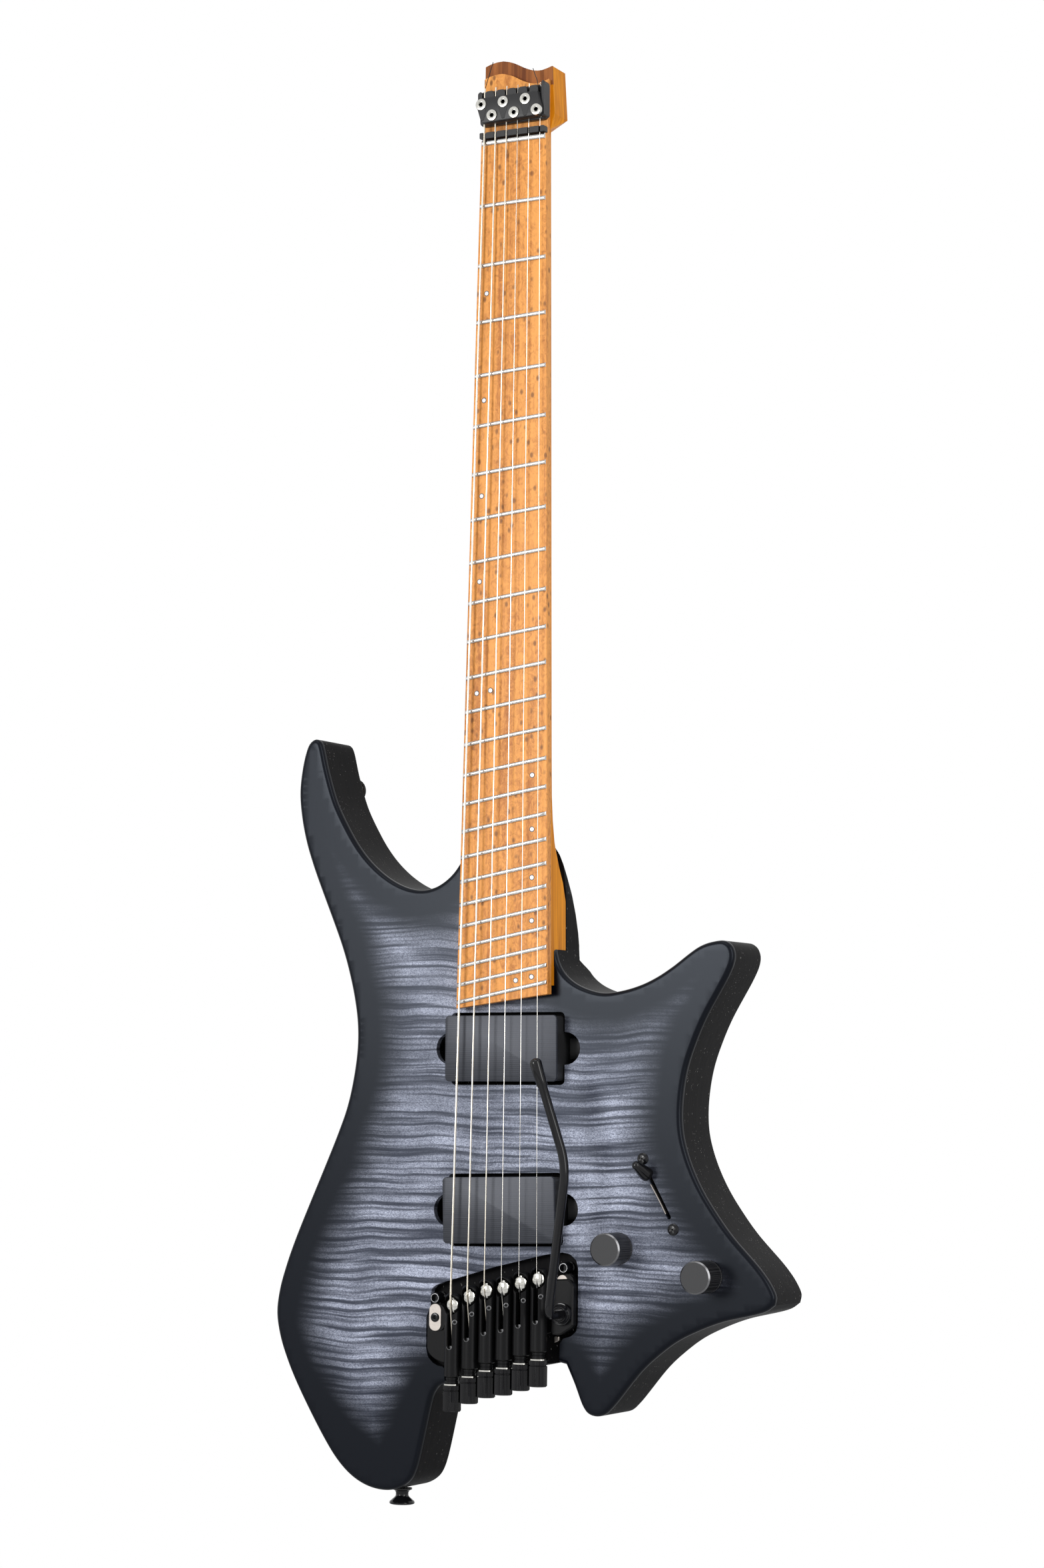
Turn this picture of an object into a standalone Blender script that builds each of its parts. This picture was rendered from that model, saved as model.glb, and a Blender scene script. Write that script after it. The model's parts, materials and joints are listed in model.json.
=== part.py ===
"""Headless electric guitar, fanned frets, six strings, with a floating tremolo bridge.

Metres, +Z up along the neck, -Y towards the player's view of the front, +X to the treble side.
The origin is on the neck's centre line at the zero fret, in the glue plane of neck and fretboard.
"""
import math

import bmesh
import bpy
from mathutils import Matrix, Vector

# Clearances
SEAT_GAP = 0.0003
RUNNING_GAP = 0.0004

# Scale, frets and strings
SCALE_BASS = 0.6477
SCALE_TREBLE = 0.6350
NUT_DROP = 0.0005
FRET_COUNT = 24
STRING_COUNT = 6
NUT_SPREAD = 0.0347
BRIDGE_SPREAD = 0.0525
STRING_DIAMETERS = (0.00025, 0.00033, 0.00043, 0.00066, 0.00091, 0.00117)
COMPENSATION = (0.0014, 0.0013, 0.0016, 0.0009, 0.0020, 0.0042)
SADDLE_SETBACK = 0.0029
STRING_Y_BRIDGE = -0.0112
FRET_HEIGHT = 0.0012
FRET_WIDTH = 0.0027
FRET_TANG = 0.0006
FRET_END_INSET = 0.0003
FRET_END_LEAN = 0.0007

# Fretboard and neck
BOARD_RADIUS = 0.508
BOARD_CROWN = 0.0064
BOARD_HALF_NUT = 0.0204
BOARD_HALF_END = 0.0281
BOARD_OVERRUN_BASS = 0.0030
BOARD_OVERRUN_TREBLE = 0.0067
BOARD_SPANS = 2
BOARD_STEP_Z = 0.0016
HEAD_LAYER = 0.0035
HEAD_LAYER_HALF = 0.0202
NECK_SHORTFALL = 0.0050
NECK_DEPTH_NUT = 0.0140
NECK_DEPTH_BODY = 0.0160
HEEL_DEPTH = 0.0189
HEEL_SIDE_ROUND = 62
HEAD_DEPTH = 0.0180
HEAD_BASS_X = -0.0213
HEAD_TREBLE_X_TOP = 0.0206
HEAD_TREBLE_X_LOW = 0.0227
HEAD_WING_Z = 0.0140
HEAD_WING_DROP = 0.0085
WAVE_OUTER = ((-0.0213, 0.0455), (-0.0170, 0.0470), (-0.0100, 0.0477), (-0.0030, 0.0457),
              (0.0030, 0.0426), (0.0090, 0.0403), (0.0145, 0.0399), (0.0206, 0.0415))
WAVE_SETBACK = 0.0082
TRUSS_WIDTH = 0.0060
TRUSS_DEPTH = 0.0090
TRUSS_TOP_Z = -0.0150
TRUSS_NUT_RADIUS = 0.0036
TRUSS_NUT_LENGTH = 0.0140

# Body
BODY_FRONT_Y = 0.0030
BODY_BACK_Y = 0.0445
CAP_THICKNESS = 0.0040
CAP_EDGE_RADIUS = 0.0026
BACK_EDGE_RADIUS = 0.0026
JOINT_INSIDE = 0.0140
OUTLINE_TOLERANCE = 0.00032
TONGUE_TOP = 0.2485
TONGUE_NOSE_HALF = 0.0195
BELLY_X = -0.1270
BELLY_Z = 0.1000
BELLY_RADII = (0.0760, 0.0300, 0.1250)
BELLY_DEPTH = 0.0110

# Outline of the body's front: x, and height above the middle of the saddle line
BODY_BASS_SIDE = (
    (-0.1185, 0.2905), (-0.1221, 0.3043), (-0.1247, 0.3083), (-0.1290, 0.3080), (-0.1332, 0.3007),
    (-0.1365, 0.2782), (-0.1320, 0.2510), (-0.1204, 0.2203), (-0.1070, 0.1896), (-0.0982, 0.1595),
    (-0.0959, 0.1325), (-0.1017, 0.0994), (-0.1140, 0.0692), (-0.1274, 0.0388), (-0.1397, 0.0082),
    (-0.1451, -0.0184), (-0.1378, -0.0446), (-0.1217, -0.0739), (-0.1044, -0.0989), (-0.0883, -0.1111),
    (-0.0709, -0.1140), (-0.0577, -0.1077), (-0.0520, -0.0929), (-0.0459, -0.0664), (-0.0429, -0.0578),
    (-0.0361, -0.0530))
BODY_TREBLE_SIDE = (
    (-0.0129, -0.0481), (0.0104, -0.0433), (0.0338, -0.0386), (0.0397, -0.0426), (0.0458, -0.0571),
    (0.0514, -0.0655), (0.0609, -0.0657), (0.0710, -0.0555), (0.0831, -0.0411), (0.1038, -0.0244),
    (0.1299, -0.0130), (0.1550, -0.0064), (0.1608, 0.0014), (0.1519, 0.0157), (0.1352, 0.0330),
    (0.1184, 0.0557), (0.1082, 0.0778), (0.1050, 0.0980), (0.1084, 0.1240), (0.1190, 0.1505),
    (0.1319, 0.1731), (0.1352, 0.1845), (0.1295, 0.1916), (0.1145, 0.1886))
JOINT_BASS = 0.2485
JOINT_TREBLE = 0.1889

# The two cutaways beside the neck: x, and drop below the joint of their side
BASS_CUTAWAY = (
    (-0.0295, 0.0080), (-0.0365, 0.0182), (-0.0470, 0.0255), (-0.0590, 0.0271), (-0.0718, 0.0233),
    (-0.0843, 0.0153), (-0.0954, 0.0042), (-0.1057, -0.0110), (-0.1133, -0.0262))
TREBLE_CUTAWAY = (
    (0.0978, 0.0118), (0.0806, 0.0209), (0.0579, 0.0255), (0.0393, 0.0196), (0.0305, 0.0101))

# Pickups
PICKUP_LENGTH = 0.0690
PICKUP_WIDTH = 0.0366
PICKUP_FACE_Y = -0.0060
PICKUP_CORNER = 0.0025
PICKUP_MARGIN_X = 0.0006
PICKUP_MARGIN_Z = 0.0018
PICKUP_EAR_RADIUS = 0.0090
PICKUP_EAR_X = 0.0355
PICKUP_EAR_Y = 0.0140
PICKUP_TAB_RADIUS = 0.0060
PICKUP_TAB_THICKNESS = 0.0015
PICKUP_FLOOR_Y = 0.0170
NECK_PICKUP_SETBACK = 0.0260
NECK_PICKUP_TILT = 0.6
BRIDGE_PICKUP_Z = 0.0435
BRIDGE_PICKUP_TILT = 1.7

# Tremolo bridge, heights above the middle of the saddle line
RECESS_FLOOR_Y = 0.0090
RECESS_OUTLINE = (
    (-0.0363, -0.0600), (-0.0363, -0.0438), (-0.0395, -0.0443), (-0.0455, -0.0413),
    (-0.0480, -0.0365), (-0.0482, -0.0155), (-0.0455, -0.0122), (-0.0456, -0.0030),
    (-0.0443, -0.0003), (-0.0400, 0.0018), (-0.0063, 0.0119), (0.0250, 0.0197), (0.0370, 0.0215),
    (0.0425, 0.0192), (0.0450, 0.0148), (0.0452, -0.0190), (0.0430, -0.0235), (0.0345, -0.0262),
    (0.0333, -0.0600))
POST_BASS = (-0.0417, -0.0063)
POST_TREBLE = (0.0372, 0.0130)
POST_RADIUS = 0.0029
POST_TOP_Y = 0.0003
POST_FLANGE_RADIUS = 0.0034
POST_SOCKET_RADIUS = 0.0019
PIVOT_Y = 0.0020
PLATE_FRONT_Y = 0.0010
PLATE_THICKNESS = 0.0040
PLATE_LENGTH = 0.0300
PLATE_INSET = 0.0006
KNIFE_WIDTH = 0.0080
KNIFE_LENGTH = 0.0146
KNIFE_THICKNESS = 0.0010
KNIFE_SETBACK = 0.0008
WING_LEFT_X = -0.0466
WING_RIGHT_X = -0.0355
WING_TOP = 0.0040
PLATE_TOP = 0.0005
ARM_BLOCK_LEFT_X = 0.0312
ARM_BLOCK_RIGHT_X = 0.0447
ARM_BLOCK_TOP = 0.0073
ARM_BLOCK_BOTTOM = -0.0236
ARM_BLOCK_FACE_Y = -0.0025
BLOCK_LEFT_X = -0.0270
BLOCK_RIGHT_X = 0.0250
BLOCK_NEAR = 0.0080
BLOCK_FAR = 0.0220
BLOCK_BACK_Y = 0.0345

# Tuner units, distances measured down from the middle of the saddle piece
SADDLE_SETDOWN = 0.0012
BARREL_Y = -0.0068
BARREL_RADIUS = 0.0047
BARREL_TOP = 0.0060
BARREL_CHAMFER = 0.0014
BARREL_END = 0.0394
BARREL_SIDES = 12
BARREL_FOOT_NEAR = 0.0090
BARREL_FOOT_FAR = 0.0260
BARREL_FOOT_WIDTH = 0.0060
SADDLE_WIDTH = 0.0082
SADDLE_HEIGHT = 0.0102
SADDLE_SEAT = 0.0030
SADDLE_MARGIN = 0.00025
SLOT_WIDTH = 0.0030
SLOT_END = 0.0242
SLOT_FLOOR_Y = -0.0040
TUNER_BORE_RADIUS = 0.0030
STRING_END = 0.0262
STRING_END_Y = -0.0071
CARRIAGE_RADIUS = 0.0026
CARRIAGE_TOP = 0.0225
CARRIAGE_LENGTH = 0.0100
CARRIAGE_BORE_RADIUS = 0.0013
STEM_RADIUS = 0.0012
STEM_TOP = 0.0298
TUNER_NECK_RADIUS = 0.0037
WASHER_START = 0.0433
WASHER_THICKNESS = 0.0008
TUNER_KNOB_END = 0.0583
TUNER_KNOB_RADIUS = 0.0050
TUNER_FLUTES = 10
TUNER_FLUTE_DEPTH = 0.0003

# Tremolo arm
ARM_RADIUS = 0.0025
ARM_X = 0.0381
ARM_Z = -0.0119
ARM_FOOT_Y = 0.0005
ARM_ELBOW_Y = -0.0200
ARM_BEND = (0.0497, -0.0240, 0.0692)
ARM_TIP = (0.0327, -0.0300, 0.1268)
ARM_ELBOW_RADIUS = 0.0060
ARM_BEND_RADIUS = 0.0200
ARM_TIP_LENGTH = 0.0160
ARM_TIP_SWELL = 1.35
COLLAR_RADIUS = 0.0062
COLLAR_HEIGHT = 0.0036

# Spring cavity in the back
SPRING_CAVITY_HALF = 0.0310
SPRING_CAVITY_TOP = 0.0960
SPRING_CAVITY_FLOOR_Y = 0.0205
SPRING_CAVITY_CORNER = 0.0050
BLOCK_SWING = 0.0300
CLAW_WIDTH = 0.0440
CLAW_THICKNESS = 0.0030
CLAW_HEIGHT = 0.0100
CLAW_Y = 0.0300
SPRING_X = 0.0120
SPRING_RADIUS = 0.0038
SPRING_WIRE = 0.0009
SPRING_TURNS = 9
SPRING_STEPS = 5
SPRING_HOOK_BACK = 0.0045
SPRING_HOOK_DEEP = 0.0030
COVER_THICKNESS = 0.0020
COVER_LEDGE = 0.0050

# Controls
SELECTOR_X = 0.0932
SELECTOR_Z = 0.0525
SELECTOR_LEAN = 28.8
SELECTOR_SLOT_LENGTH = 0.0260
SELECTOR_SLOT_WIDTH = 0.0024
SELECTOR_PIVOT_Y = 0.0200
SELECTOR_THROW = 31.0
SELECTOR_BLADE_WIDTH = 0.0040
SELECTOR_BLADE_THICKNESS = 0.0012
SELECTOR_LEVER_LENGTH = 0.0229
SELECTOR_TIP_LENGTH = 0.0125
SELECTOR_TIP_RADIUS = 0.0034
SELECTOR_TIP_END_RADIUS = 0.0021
SELECTOR_FRAME_LENGTH = 0.0500
SELECTOR_FRAME_WIDTH = 0.0110
SELECTOR_FRAME_THICKNESS = 0.0015
SELECTOR_BODY_LENGTH = 0.0360
SELECTOR_CHEEK = 0.0012
SELECTOR_BODY_DEPTH = 0.0180
CONTROL_CEILING_Y = 0.0120
CONTROL_CAVITY = (
    (0.0530, 0.0260), (0.0590, 0.0420), (0.0680, 0.0680), (0.0760, 0.0790), (0.0880, 0.0790),
    (0.0960, 0.0690), (0.1120, 0.0410), (0.1360, 0.0180), (0.1370, 0.0080), (0.1250, -0.0030),
    (0.0980, -0.0020), (0.0640, 0.0080), (0.0550, 0.0140))
VOLUME_POT = (0.0690, 0.0244)
TONE_POT = (0.1221, 0.0112)
POT_RADIUS = 0.0120
POT_DEPTH = 0.0110
POT_BUSH_RADIUS = 0.0036
POT_NUT_RADIUS = 0.0056
POT_NUT_HEIGHT = 0.0020
POT_SHAFT_RADIUS = 0.0030
KNOB_RADIUS = 0.00885
KNOB_TOP_Y = -0.0150
KNOB_CHAMFER = 0.0006
KNOB_FLUTES = 15
KNOB_FLUTE_DEPTH = 0.0004
KNOB_SKIRT_DEPTH = 0.0032
KNOB_WALL = 0.0020
KNOB_CROWN = 0.0030

# String lock and guide at the head
GUIDE_Z = 0.0036
GUIDE_WIDTH = 0.0034
GUIDE_FACE_Y = -0.0084
GUIDE_GROOVE_Y = -0.0066
GUIDE_GROOVE_SIDE = 0.0004
LOCK_BOTTOM = 0.0093
LOCK_TOP = 0.0293
LOCK_HALF = 0.0210
LOCK_CORNER = 0.0025
LOCK_BASE_Y = -0.0069
LOCK_FACE_Y = -0.0127
LOCK_TAB_Y = -0.0090
LOCK_TAB_HEIGHT = 0.0026
LOCK_TAB_HALF = 0.0024
LOCK_CHANNEL_Y = -0.0090
LOCK_CHANNEL_WIDTH = 0.0020
LOCK_CLAMP = ((-0.0173, 0.0095), (0.0195, 0.0103), (0.0211, 0.0129), (0.0183, 0.0245),
              (-0.0192, 0.0243), (-0.0209, 0.0215))
LOCK_SCREW_HIGH = 0.0206
LOCK_SCREW_LOW = 0.0137
LOCK_SCREW_RADIUS = 0.0031
LOCK_SCREW_SOCKET = 0.0014
LOCK_SCREW_PROUD = 0.0005
STRING_STUB_Z = 0.0305

# Strap buttons and output jack
BUTTON_FLANGE_RADIUS = 0.0072
BUTTON_WAIST_RADIUS = 0.0036
BUTTON_BASE_RADIUS = 0.0056
BUTTON_HEIGHT = 0.0090
TAIL_BUTTON = (-0.0717, -0.1140)
TAIL_BUTTON_Y = 0.0220
HORN_BUTTON = (-0.1270, 0.2827)
JACK_X = 0.0640
JACK_Z = -0.0330
JACK_PLATE_RADIUS = 0.0135
JACK_PLATE_THICKNESS = 0.0025
JACK_BARREL_RADIUS = 0.0060
JACK_BORE_RADIUS = 0.00325
JACK_DEPTH = 0.0240

# Derived lines
BRIDGE_Z = -(SCALE_BASS + SCALE_TREBLE) / 2 - NUT_DROP / 2 - SADDLE_SETBACK
FAN = [i / (STRING_COUNT - 1) for i in range(STRING_COUNT)]
HOLE_SIDES = 12

collections = {}
materials = {}


def clear_scene():
    for ob in list(bpy.data.objects):
        bpy.data.objects.remove(ob, do_unlink=True)


def make_collections():
    for key, name in (("parts", "headless_electric_guitar"), ("cutters", "cutters")):
        collections[key] = bpy.data.collections.new(name)
        bpy.context.scene.collection.children.link(collections[key])


def make_material(name, color, roughness, metallic=0.0):
    mat = bpy.data.materials.new(name)
    mat.use_nodes = True
    shader = mat.node_tree.nodes["Principled BSDF"]
    shader.inputs["Base Color"].default_value = (*color, 1.0)
    shader.inputs["Roughness"].default_value = roughness
    shader.inputs["Metallic"].default_value = metallic
    materials[name] = mat


def make_materials():
    make_material("black_ash", (0.012, 0.012, 0.013), 0.55)
    make_material("charcoal_maple", (0.10, 0.11, 0.15), 0.35)
    make_material("roasted_maple", (0.52, 0.22, 0.06), 0.5)
    make_material("birdseye_maple", (0.62, 0.33, 0.13), 0.5)
    make_material("fret_steel", (0.75, 0.75, 0.74), 0.22, 1.0)
    make_material("string_steel", (0.70, 0.68, 0.62), 0.3, 1.0)
    make_material("black_metal", (0.02, 0.02, 0.022), 0.38, 0.6)
    make_material("bright_metal", (0.78, 0.77, 0.74), 0.18, 1.0)
    make_material("pickup_shell", (0.09, 0.09, 0.10), 0.4)
    make_material("black_plastic", (0.015, 0.015, 0.016), 0.45)
    make_material("plain_steel", (0.45, 0.45, 0.46), 0.4, 1.0)


def place(ob, key, material=None):
    collections[key].objects.link(ob)
    if material:
        ob.data.materials.append(materials[material])
    if key == "cutters":
        ob.hide_render = True
        ob.display_type = "WIRE"
    return ob


def mesh_object(name, bm, key="parts", material=None):
    bmesh.ops.recalc_face_normals(bm, faces=bm.faces)
    mesh = bpy.data.meshes.new(name)
    bm.to_mesh(mesh)
    bm.free()
    return place(bpy.data.objects.new(name, mesh), key, material)


def as_mesh(ob, key="parts", material=None):
    """The evaluated object as a welded mesh object of the same name and place."""
    depsgraph = bpy.context.evaluated_depsgraph_get()
    mesh = bpy.data.meshes.new_from_object(ob.evaluated_get(depsgraph))
    bm = bmesh.new()
    bm.from_mesh(mesh)
    bmesh.ops.remove_doubles(bm, verts=bm.verts, dist=1e-6)
    bmesh.ops.recalc_face_normals(bm, faces=bm.faces)
    bm.to_mesh(mesh)
    bm.free()
    matrix = ob.matrix_world.copy()
    name = ob.name
    bpy.data.objects.remove(ob, do_unlink=True)
    mesh.name = name
    solid = bpy.data.objects.new(name, mesh)
    solid.matrix_world = matrix
    mesh.materials.clear()
    return place(solid, key, material)


def slab(name, outline, y_front, y_back, key="parts", material=None, bevel=0.0, tilt=0.0, at=(0, 0)):
    """A flat outline in x and z, from y_front back to y_back, turned by tilt about its own origin."""
    curve = bpy.data.curves.new(name, "CURVE")
    curve.dimensions = "2D"
    curve.fill_mode = "BOTH"
    curve.extrude = (y_back - y_front) / 2 - bevel
    curve.bevel_depth = bevel
    curve.bevel_resolution = 0
    curve.offset = -bevel
    spline = curve.splines.new("POLY")
    spline.points.add(len(outline) - 1)
    for point, (x, z) in zip(spline.points, outline):
        point.co = (x, z, 0, 1)
    spline.use_cyclic_u = True
    ob = bpy.data.objects.new(name, curve)
    ob.location = (at[0], (y_front + y_back) / 2, at[1])
    ob.rotation_euler = (math.radians(90), -tilt, 0)
    bpy.context.scene.collection.objects.link(ob)
    bpy.context.view_layer.update()
    return as_mesh(ob, key, material)


def loft(name, rings, key="parts", material=None):
    """A closed solid through rings of equal point counts, capped at both ends."""
    bm = bmesh.new()
    rows = [[bm.verts.new(p) for p in ring] for ring in rings]
    for low, high in zip(rows, rows[1:]):
        for k in range(len(low)):
            n = (k + 1) % len(low)
            bm.faces.new((low[k], low[n], high[n], high[k]))
    bm.faces.new(rows[0][::-1])
    bm.faces.new(rows[-1])
    return mesh_object(name, bm, key, material)


def turned(name, profile, steps, axis, at, key="parts", material=None):
    """A profile of radius and height turned about the axis through a point."""
    mesh = bpy.data.meshes.new(name)
    points = [(r, 0, h) for r, h in profile]
    mesh.from_pydata(points, [(k, k + 1) for k in range(len(points) - 1)], [])
    ob = bpy.data.objects.new(name, mesh)
    ob.rotation_euler = Vector((0, 0, 1)).rotation_difference(Vector(axis)).to_euler()
    ob.location = at
    screw = ob.modifiers.new("turn", "SCREW")
    screw.steps = steps
    screw.render_steps = steps
    screw.use_merge_vertices = True
    screw.merge_threshold = 0.00001
    bpy.context.scene.collection.objects.link(ob)
    bpy.context.view_layer.update()
    return as_mesh(ob, key, material)


def tube(name, points, radius, sides_level, material, radii=None):
    """A wire of one radius along points, closed at both ends."""
    curve = bpy.data.curves.new(name, "CURVE")
    curve.dimensions = "3D"
    curve.bevel_depth = radius
    curve.bevel_resolution = sides_level
    curve.use_fill_caps = True
    spline = curve.splines.new("POLY")
    spline.points.add(len(points) - 1)
    for k, p in enumerate(points):
        spline.points[k].co = (*p, 1)
        if radii:
            spline.points[k].radius = radii[k]
    ob = bpy.data.objects.new(name, curve)
    bpy.context.scene.collection.objects.link(ob)
    bpy.context.view_layer.update()
    return as_mesh(ob, "parts", material)


def box(name, low, high, key="parts", material=None):
    bm = bmesh.new()
    bmesh.ops.create_cube(bm, size=1)
    size = [h - l for l, h in zip(low, high)]
    middle = [(h + l) / 2 for l, h in zip(low, high)]
    bmesh.ops.transform(bm, matrix=Matrix.Translation(middle) @ Matrix.Diagonal((*size, 1)),
                        verts=bm.verts)
    return mesh_object(name, bm, key, material)


def rod(name, radius, start, end, sides=HOLE_SIDES, key="cutters", material=None):
    """A cylinder between two points."""
    start = Vector(start)
    span = Vector(end) - start
    turn = Vector((0, 0, 1)).rotation_difference(span).to_matrix().to_4x4()
    bm = bmesh.new()
    bmesh.ops.create_cone(bm, cap_ends=True, segments=sides, radius1=radius, radius2=radius,
                          depth=span.length, matrix=Matrix.Translation(start + span / 2) @ turn)
    return mesh_object(name, bm, key, material)


def combine(target, other, operation, name):
    mod = target.modifiers.new(name, "BOOLEAN")
    mod.operation = operation
    mod.object = other
    mod.solver = "EXACT"


def cut(target, cutter):
    combine(target, cutter, "DIFFERENCE", cutter.name)


def fuse(target, other):
    combine(target, other, "UNION", other.name)


def settle(ob, material=None):
    """Apply the modifiers, weld what they leave and keep the name."""
    bpy.context.view_layer.update()
    key = "cutters" if ob.hide_render else "parts"
    return as_mesh(ob, key, material)


def drop(*objects):
    for ob in objects:
        bpy.data.objects.remove(ob, do_unlink=True)


def shade(ob, angle=35):
    ob.data.shade_smooth()
    ob.data.set_sharp_from_angle(angle=math.radians(angle))


def smooth_run(points, steps):
    """Points along a smooth curve through the given ones, which stay on it."""
    ends = [2 * Vector(points[0]) - Vector(points[1]), 2 * Vector(points[-1]) - Vector(points[-2])]
    knots = [ends[0]] + [Vector(p) for p in points] + [ends[1]]
    run = []
    for a, b, c, d in zip(knots, knots[1:], knots[2:], knots[3:]):
        for k in range(steps):
            t = k / steps
            run.append(0.5 * (2 * b + (c - a) * t + (2 * a - 5 * b + 4 * c - d) * t ** 2
                              + (3 * b - a - 3 * c + d) * t ** 3))
    run.append(knots[-2])
    return [tuple(p) for p in run]


def rounded_box(half_x, half_z, radius, steps=3):
    """A rectangle about the origin with round corners."""
    outline = []
    for sx, sz, start in ((1, 1, 0), (-1, 1, 90), (-1, -1, 180), (1, -1, 270)):
        for k in range(steps + 1):
            a = math.radians(start + 90 * k / steps)
            outline.append((sx * (half_x - radius) + radius * math.cos(a),
                            sz * (half_z - radius) + radius * math.sin(a)))
    return outline


def round_corners(points, radius, steps=2):
    """The polygon with each corner replaced by an arc of about the given radius."""
    outline = []
    count = len(points)
    for k in range(count):
        corner = Vector(points[k])
        before = Vector(points[k - 1]) - corner
        after = Vector(points[(k + 1) % count]) - corner
        reach = min(radius, before.length * 0.45, after.length * 0.45)
        start = corner + before.normalized() * reach
        end = corner + after.normalized() * reach
        for s in range(steps + 1):
            t = s / steps
            outline.append(tuple((1 - t) ** 2 * start + 2 * t * (1 - t) * corner + t ** 2 * end))
    return outline


def fluted(radius, flutes, depth):
    """A round outline with grooves all the way round."""
    outline = []
    for k in range(2 * flutes):
        r = radius - depth * (k % 2)
        a = math.pi * k / flutes
        outline.append((r * math.cos(a), r * math.sin(a)))
    return outline


def at_bridge(points):
    return [(x, BRIDGE_Z + z) for x, z in points]


def bridge_point(point, y):
    return (point[0], y, BRIDGE_Z + point[1])


def nut_x(i):
    return NUT_SPREAD * (0.5 - FAN[i])


def saddle_x(i):
    return BRIDGE_SPREAD * (0.5 - FAN[i])


def nut_z(x):
    """The zero fret drops from treble to bass."""
    return -NUT_DROP * (0.5 - x / NUT_SPREAD)


def contact_z(i):
    scale = SCALE_TREBLE + (SCALE_BASS - SCALE_TREBLE) * FAN[i]
    return -NUT_DROP * FAN[i] - scale - COMPENSATION[i]


def saddle_z(i):
    return contact_z(i) - SADDLE_SETDOWN


def camber(x):
    """How far the fretboard's arc has fallen back at x."""
    return BOARD_RADIUS - math.sqrt(BOARD_RADIUS ** 2 - x ** 2)


def string_y(i, z):
    """Height of a string's middle between the zero fret and its saddle."""
    t = z / contact_z(i)
    radius = STRING_DIAMETERS[i] / 2
    y_nut = -BOARD_CROWN - FRET_HEIGHT - SEAT_GAP - radius + camber(nut_x(i))
    y_saddle = STRING_Y_BRIDGE + camber(saddle_x(i))
    return y_nut + (y_saddle - y_nut) * t


def fret_ends(n):
    """The heights of fret n on the two outer strings, bass then treble, with their x."""
    part = 1 - 2 ** (-n / 12)
    low = -NUT_DROP - SCALE_BASS * part
    high = -SCALE_TREBLE * part
    return low, high


def outer_x(z):
    """Half the spread of the outer strings at height z."""
    t = z / (BRIDGE_Z + SADDLE_SETBACK)
    return (NUT_SPREAD + (BRIDGE_SPREAD - NUT_SPREAD) * t) / 2


def fret_z(n, x):
    low, high = fret_ends(n)
    left, right = -outer_x(low), outer_x(high)
    return low + (high - low) * (x - left) / (right - left)


def board_end_z(x):
    """The end of the fretboard, nearly along the last fret."""
    bass = fret_z(FRET_COUNT, -BOARD_HALF_END) - BOARD_OVERRUN_BASS
    treble = fret_z(FRET_COUNT, BOARD_HALF_END) - BOARD_OVERRUN_TREBLE
    return bass + (treble - bass) * (x + BOARD_HALF_END) / (2 * BOARD_HALF_END)


def board_half(z):
    """Half the width of the fretboard and the neck at height z."""
    return BOARD_HALF_NUT + (BOARD_HALF_END - BOARD_HALF_NUT) * z / board_end_z(0)


def neck_end_z(x):
    return board_end_z(x) + NECK_SHORTFALL


def thinned(points, tolerance):
    """The same line without the points that lie nearly straight between their neighbours."""
    kept = [points[0]]
    for k in range(1, len(points) - 1):
        a, b, c = Vector(kept[-1]), Vector(points[k]), Vector(points[k + 1])
        along = (c - a).normalized()
        if abs(along.cross(b - a)) > tolerance:
            kept.append(points[k])
    return kept + [points[-1]]


def body_run():
    """The body's edge from the bass side of the neck round to its treble side."""
    bass = board_half(BRIDGE_Z + JOINT_BASS)
    treble = board_half(BRIDGE_Z + JOINT_TREBLE)
    horn_bass = [(x, JOINT_BASS - drop) for x, drop in BASS_CUTAWAY]
    horn_treble = [(x, JOINT_TREBLE - drop) for x, drop in TREBLE_CUTAWAY]
    points = [(-bass, JOINT_BASS), *horn_bass, *BODY_BASS_SIDE, *BODY_TREBLE_SIDE, *horn_treble,
              (treble, JOINT_TREBLE)]
    return at_bridge(thinned(smooth_run(points, 2), OUTLINE_TOLERANCE))


def cap_outline():
    run = body_run()
    (bass_x, bass_z), (treble_x, treble_z) = run[0], run[-1]
    return run + [(treble_x - JOINT_INSIDE, treble_z), (bass_x + JOINT_INSIDE, bass_z)]


def core_outline():
    """The body's edge closed over the top of the tongue behind the neck."""
    nose = BRIDGE_Z + TONGUE_TOP
    side = []
    for down, share in ((0.030, 1.0), (0.012, 0.75), (0.004, 0.45), (0.0, 0.0)):
        half = TONGUE_NOSE_HALF + (board_half(nose - down) - TONGUE_NOSE_HALF) * share
        side.append((half, nose - down))
    return body_run() + side + [(-TONGUE_NOSE_HALF, nose)]


def rim_weight(ob, y_local_sign):
    """Mark the sharp rim of a slab's front or back face for its bevel."""
    mesh = ob.data
    bm = bmesh.new()
    bm.from_mesh(mesh)
    bmesh.ops.dissolve_limit(bm, angle_limit=math.radians(1), verts=bm.verts, edges=bm.edges)
    layer = bm.edges.layers.float.new("bevel_weight_edge")
    level = max(v.co.z * y_local_sign for v in bm.verts)
    for edge in bm.edges:
        on_rim = all(abs(v.co.z * y_local_sign - level) < 1e-6 for v in edge.verts)
        edge[layer] = 1.0 if on_rim and edge.calc_face_angle(0) > math.radians(60) else 0.0
    bm.to_mesh(mesh)
    bm.free()


def bevel_rim(ob, side, width, segments):
    rim_weight(ob, side)
    mod = ob.modifiers.new("rim", "BEVEL")
    mod.limit_method = "WEIGHT"
    mod.width = width
    mod.segments = segments
    mod.use_clamp_overlap = False


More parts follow.
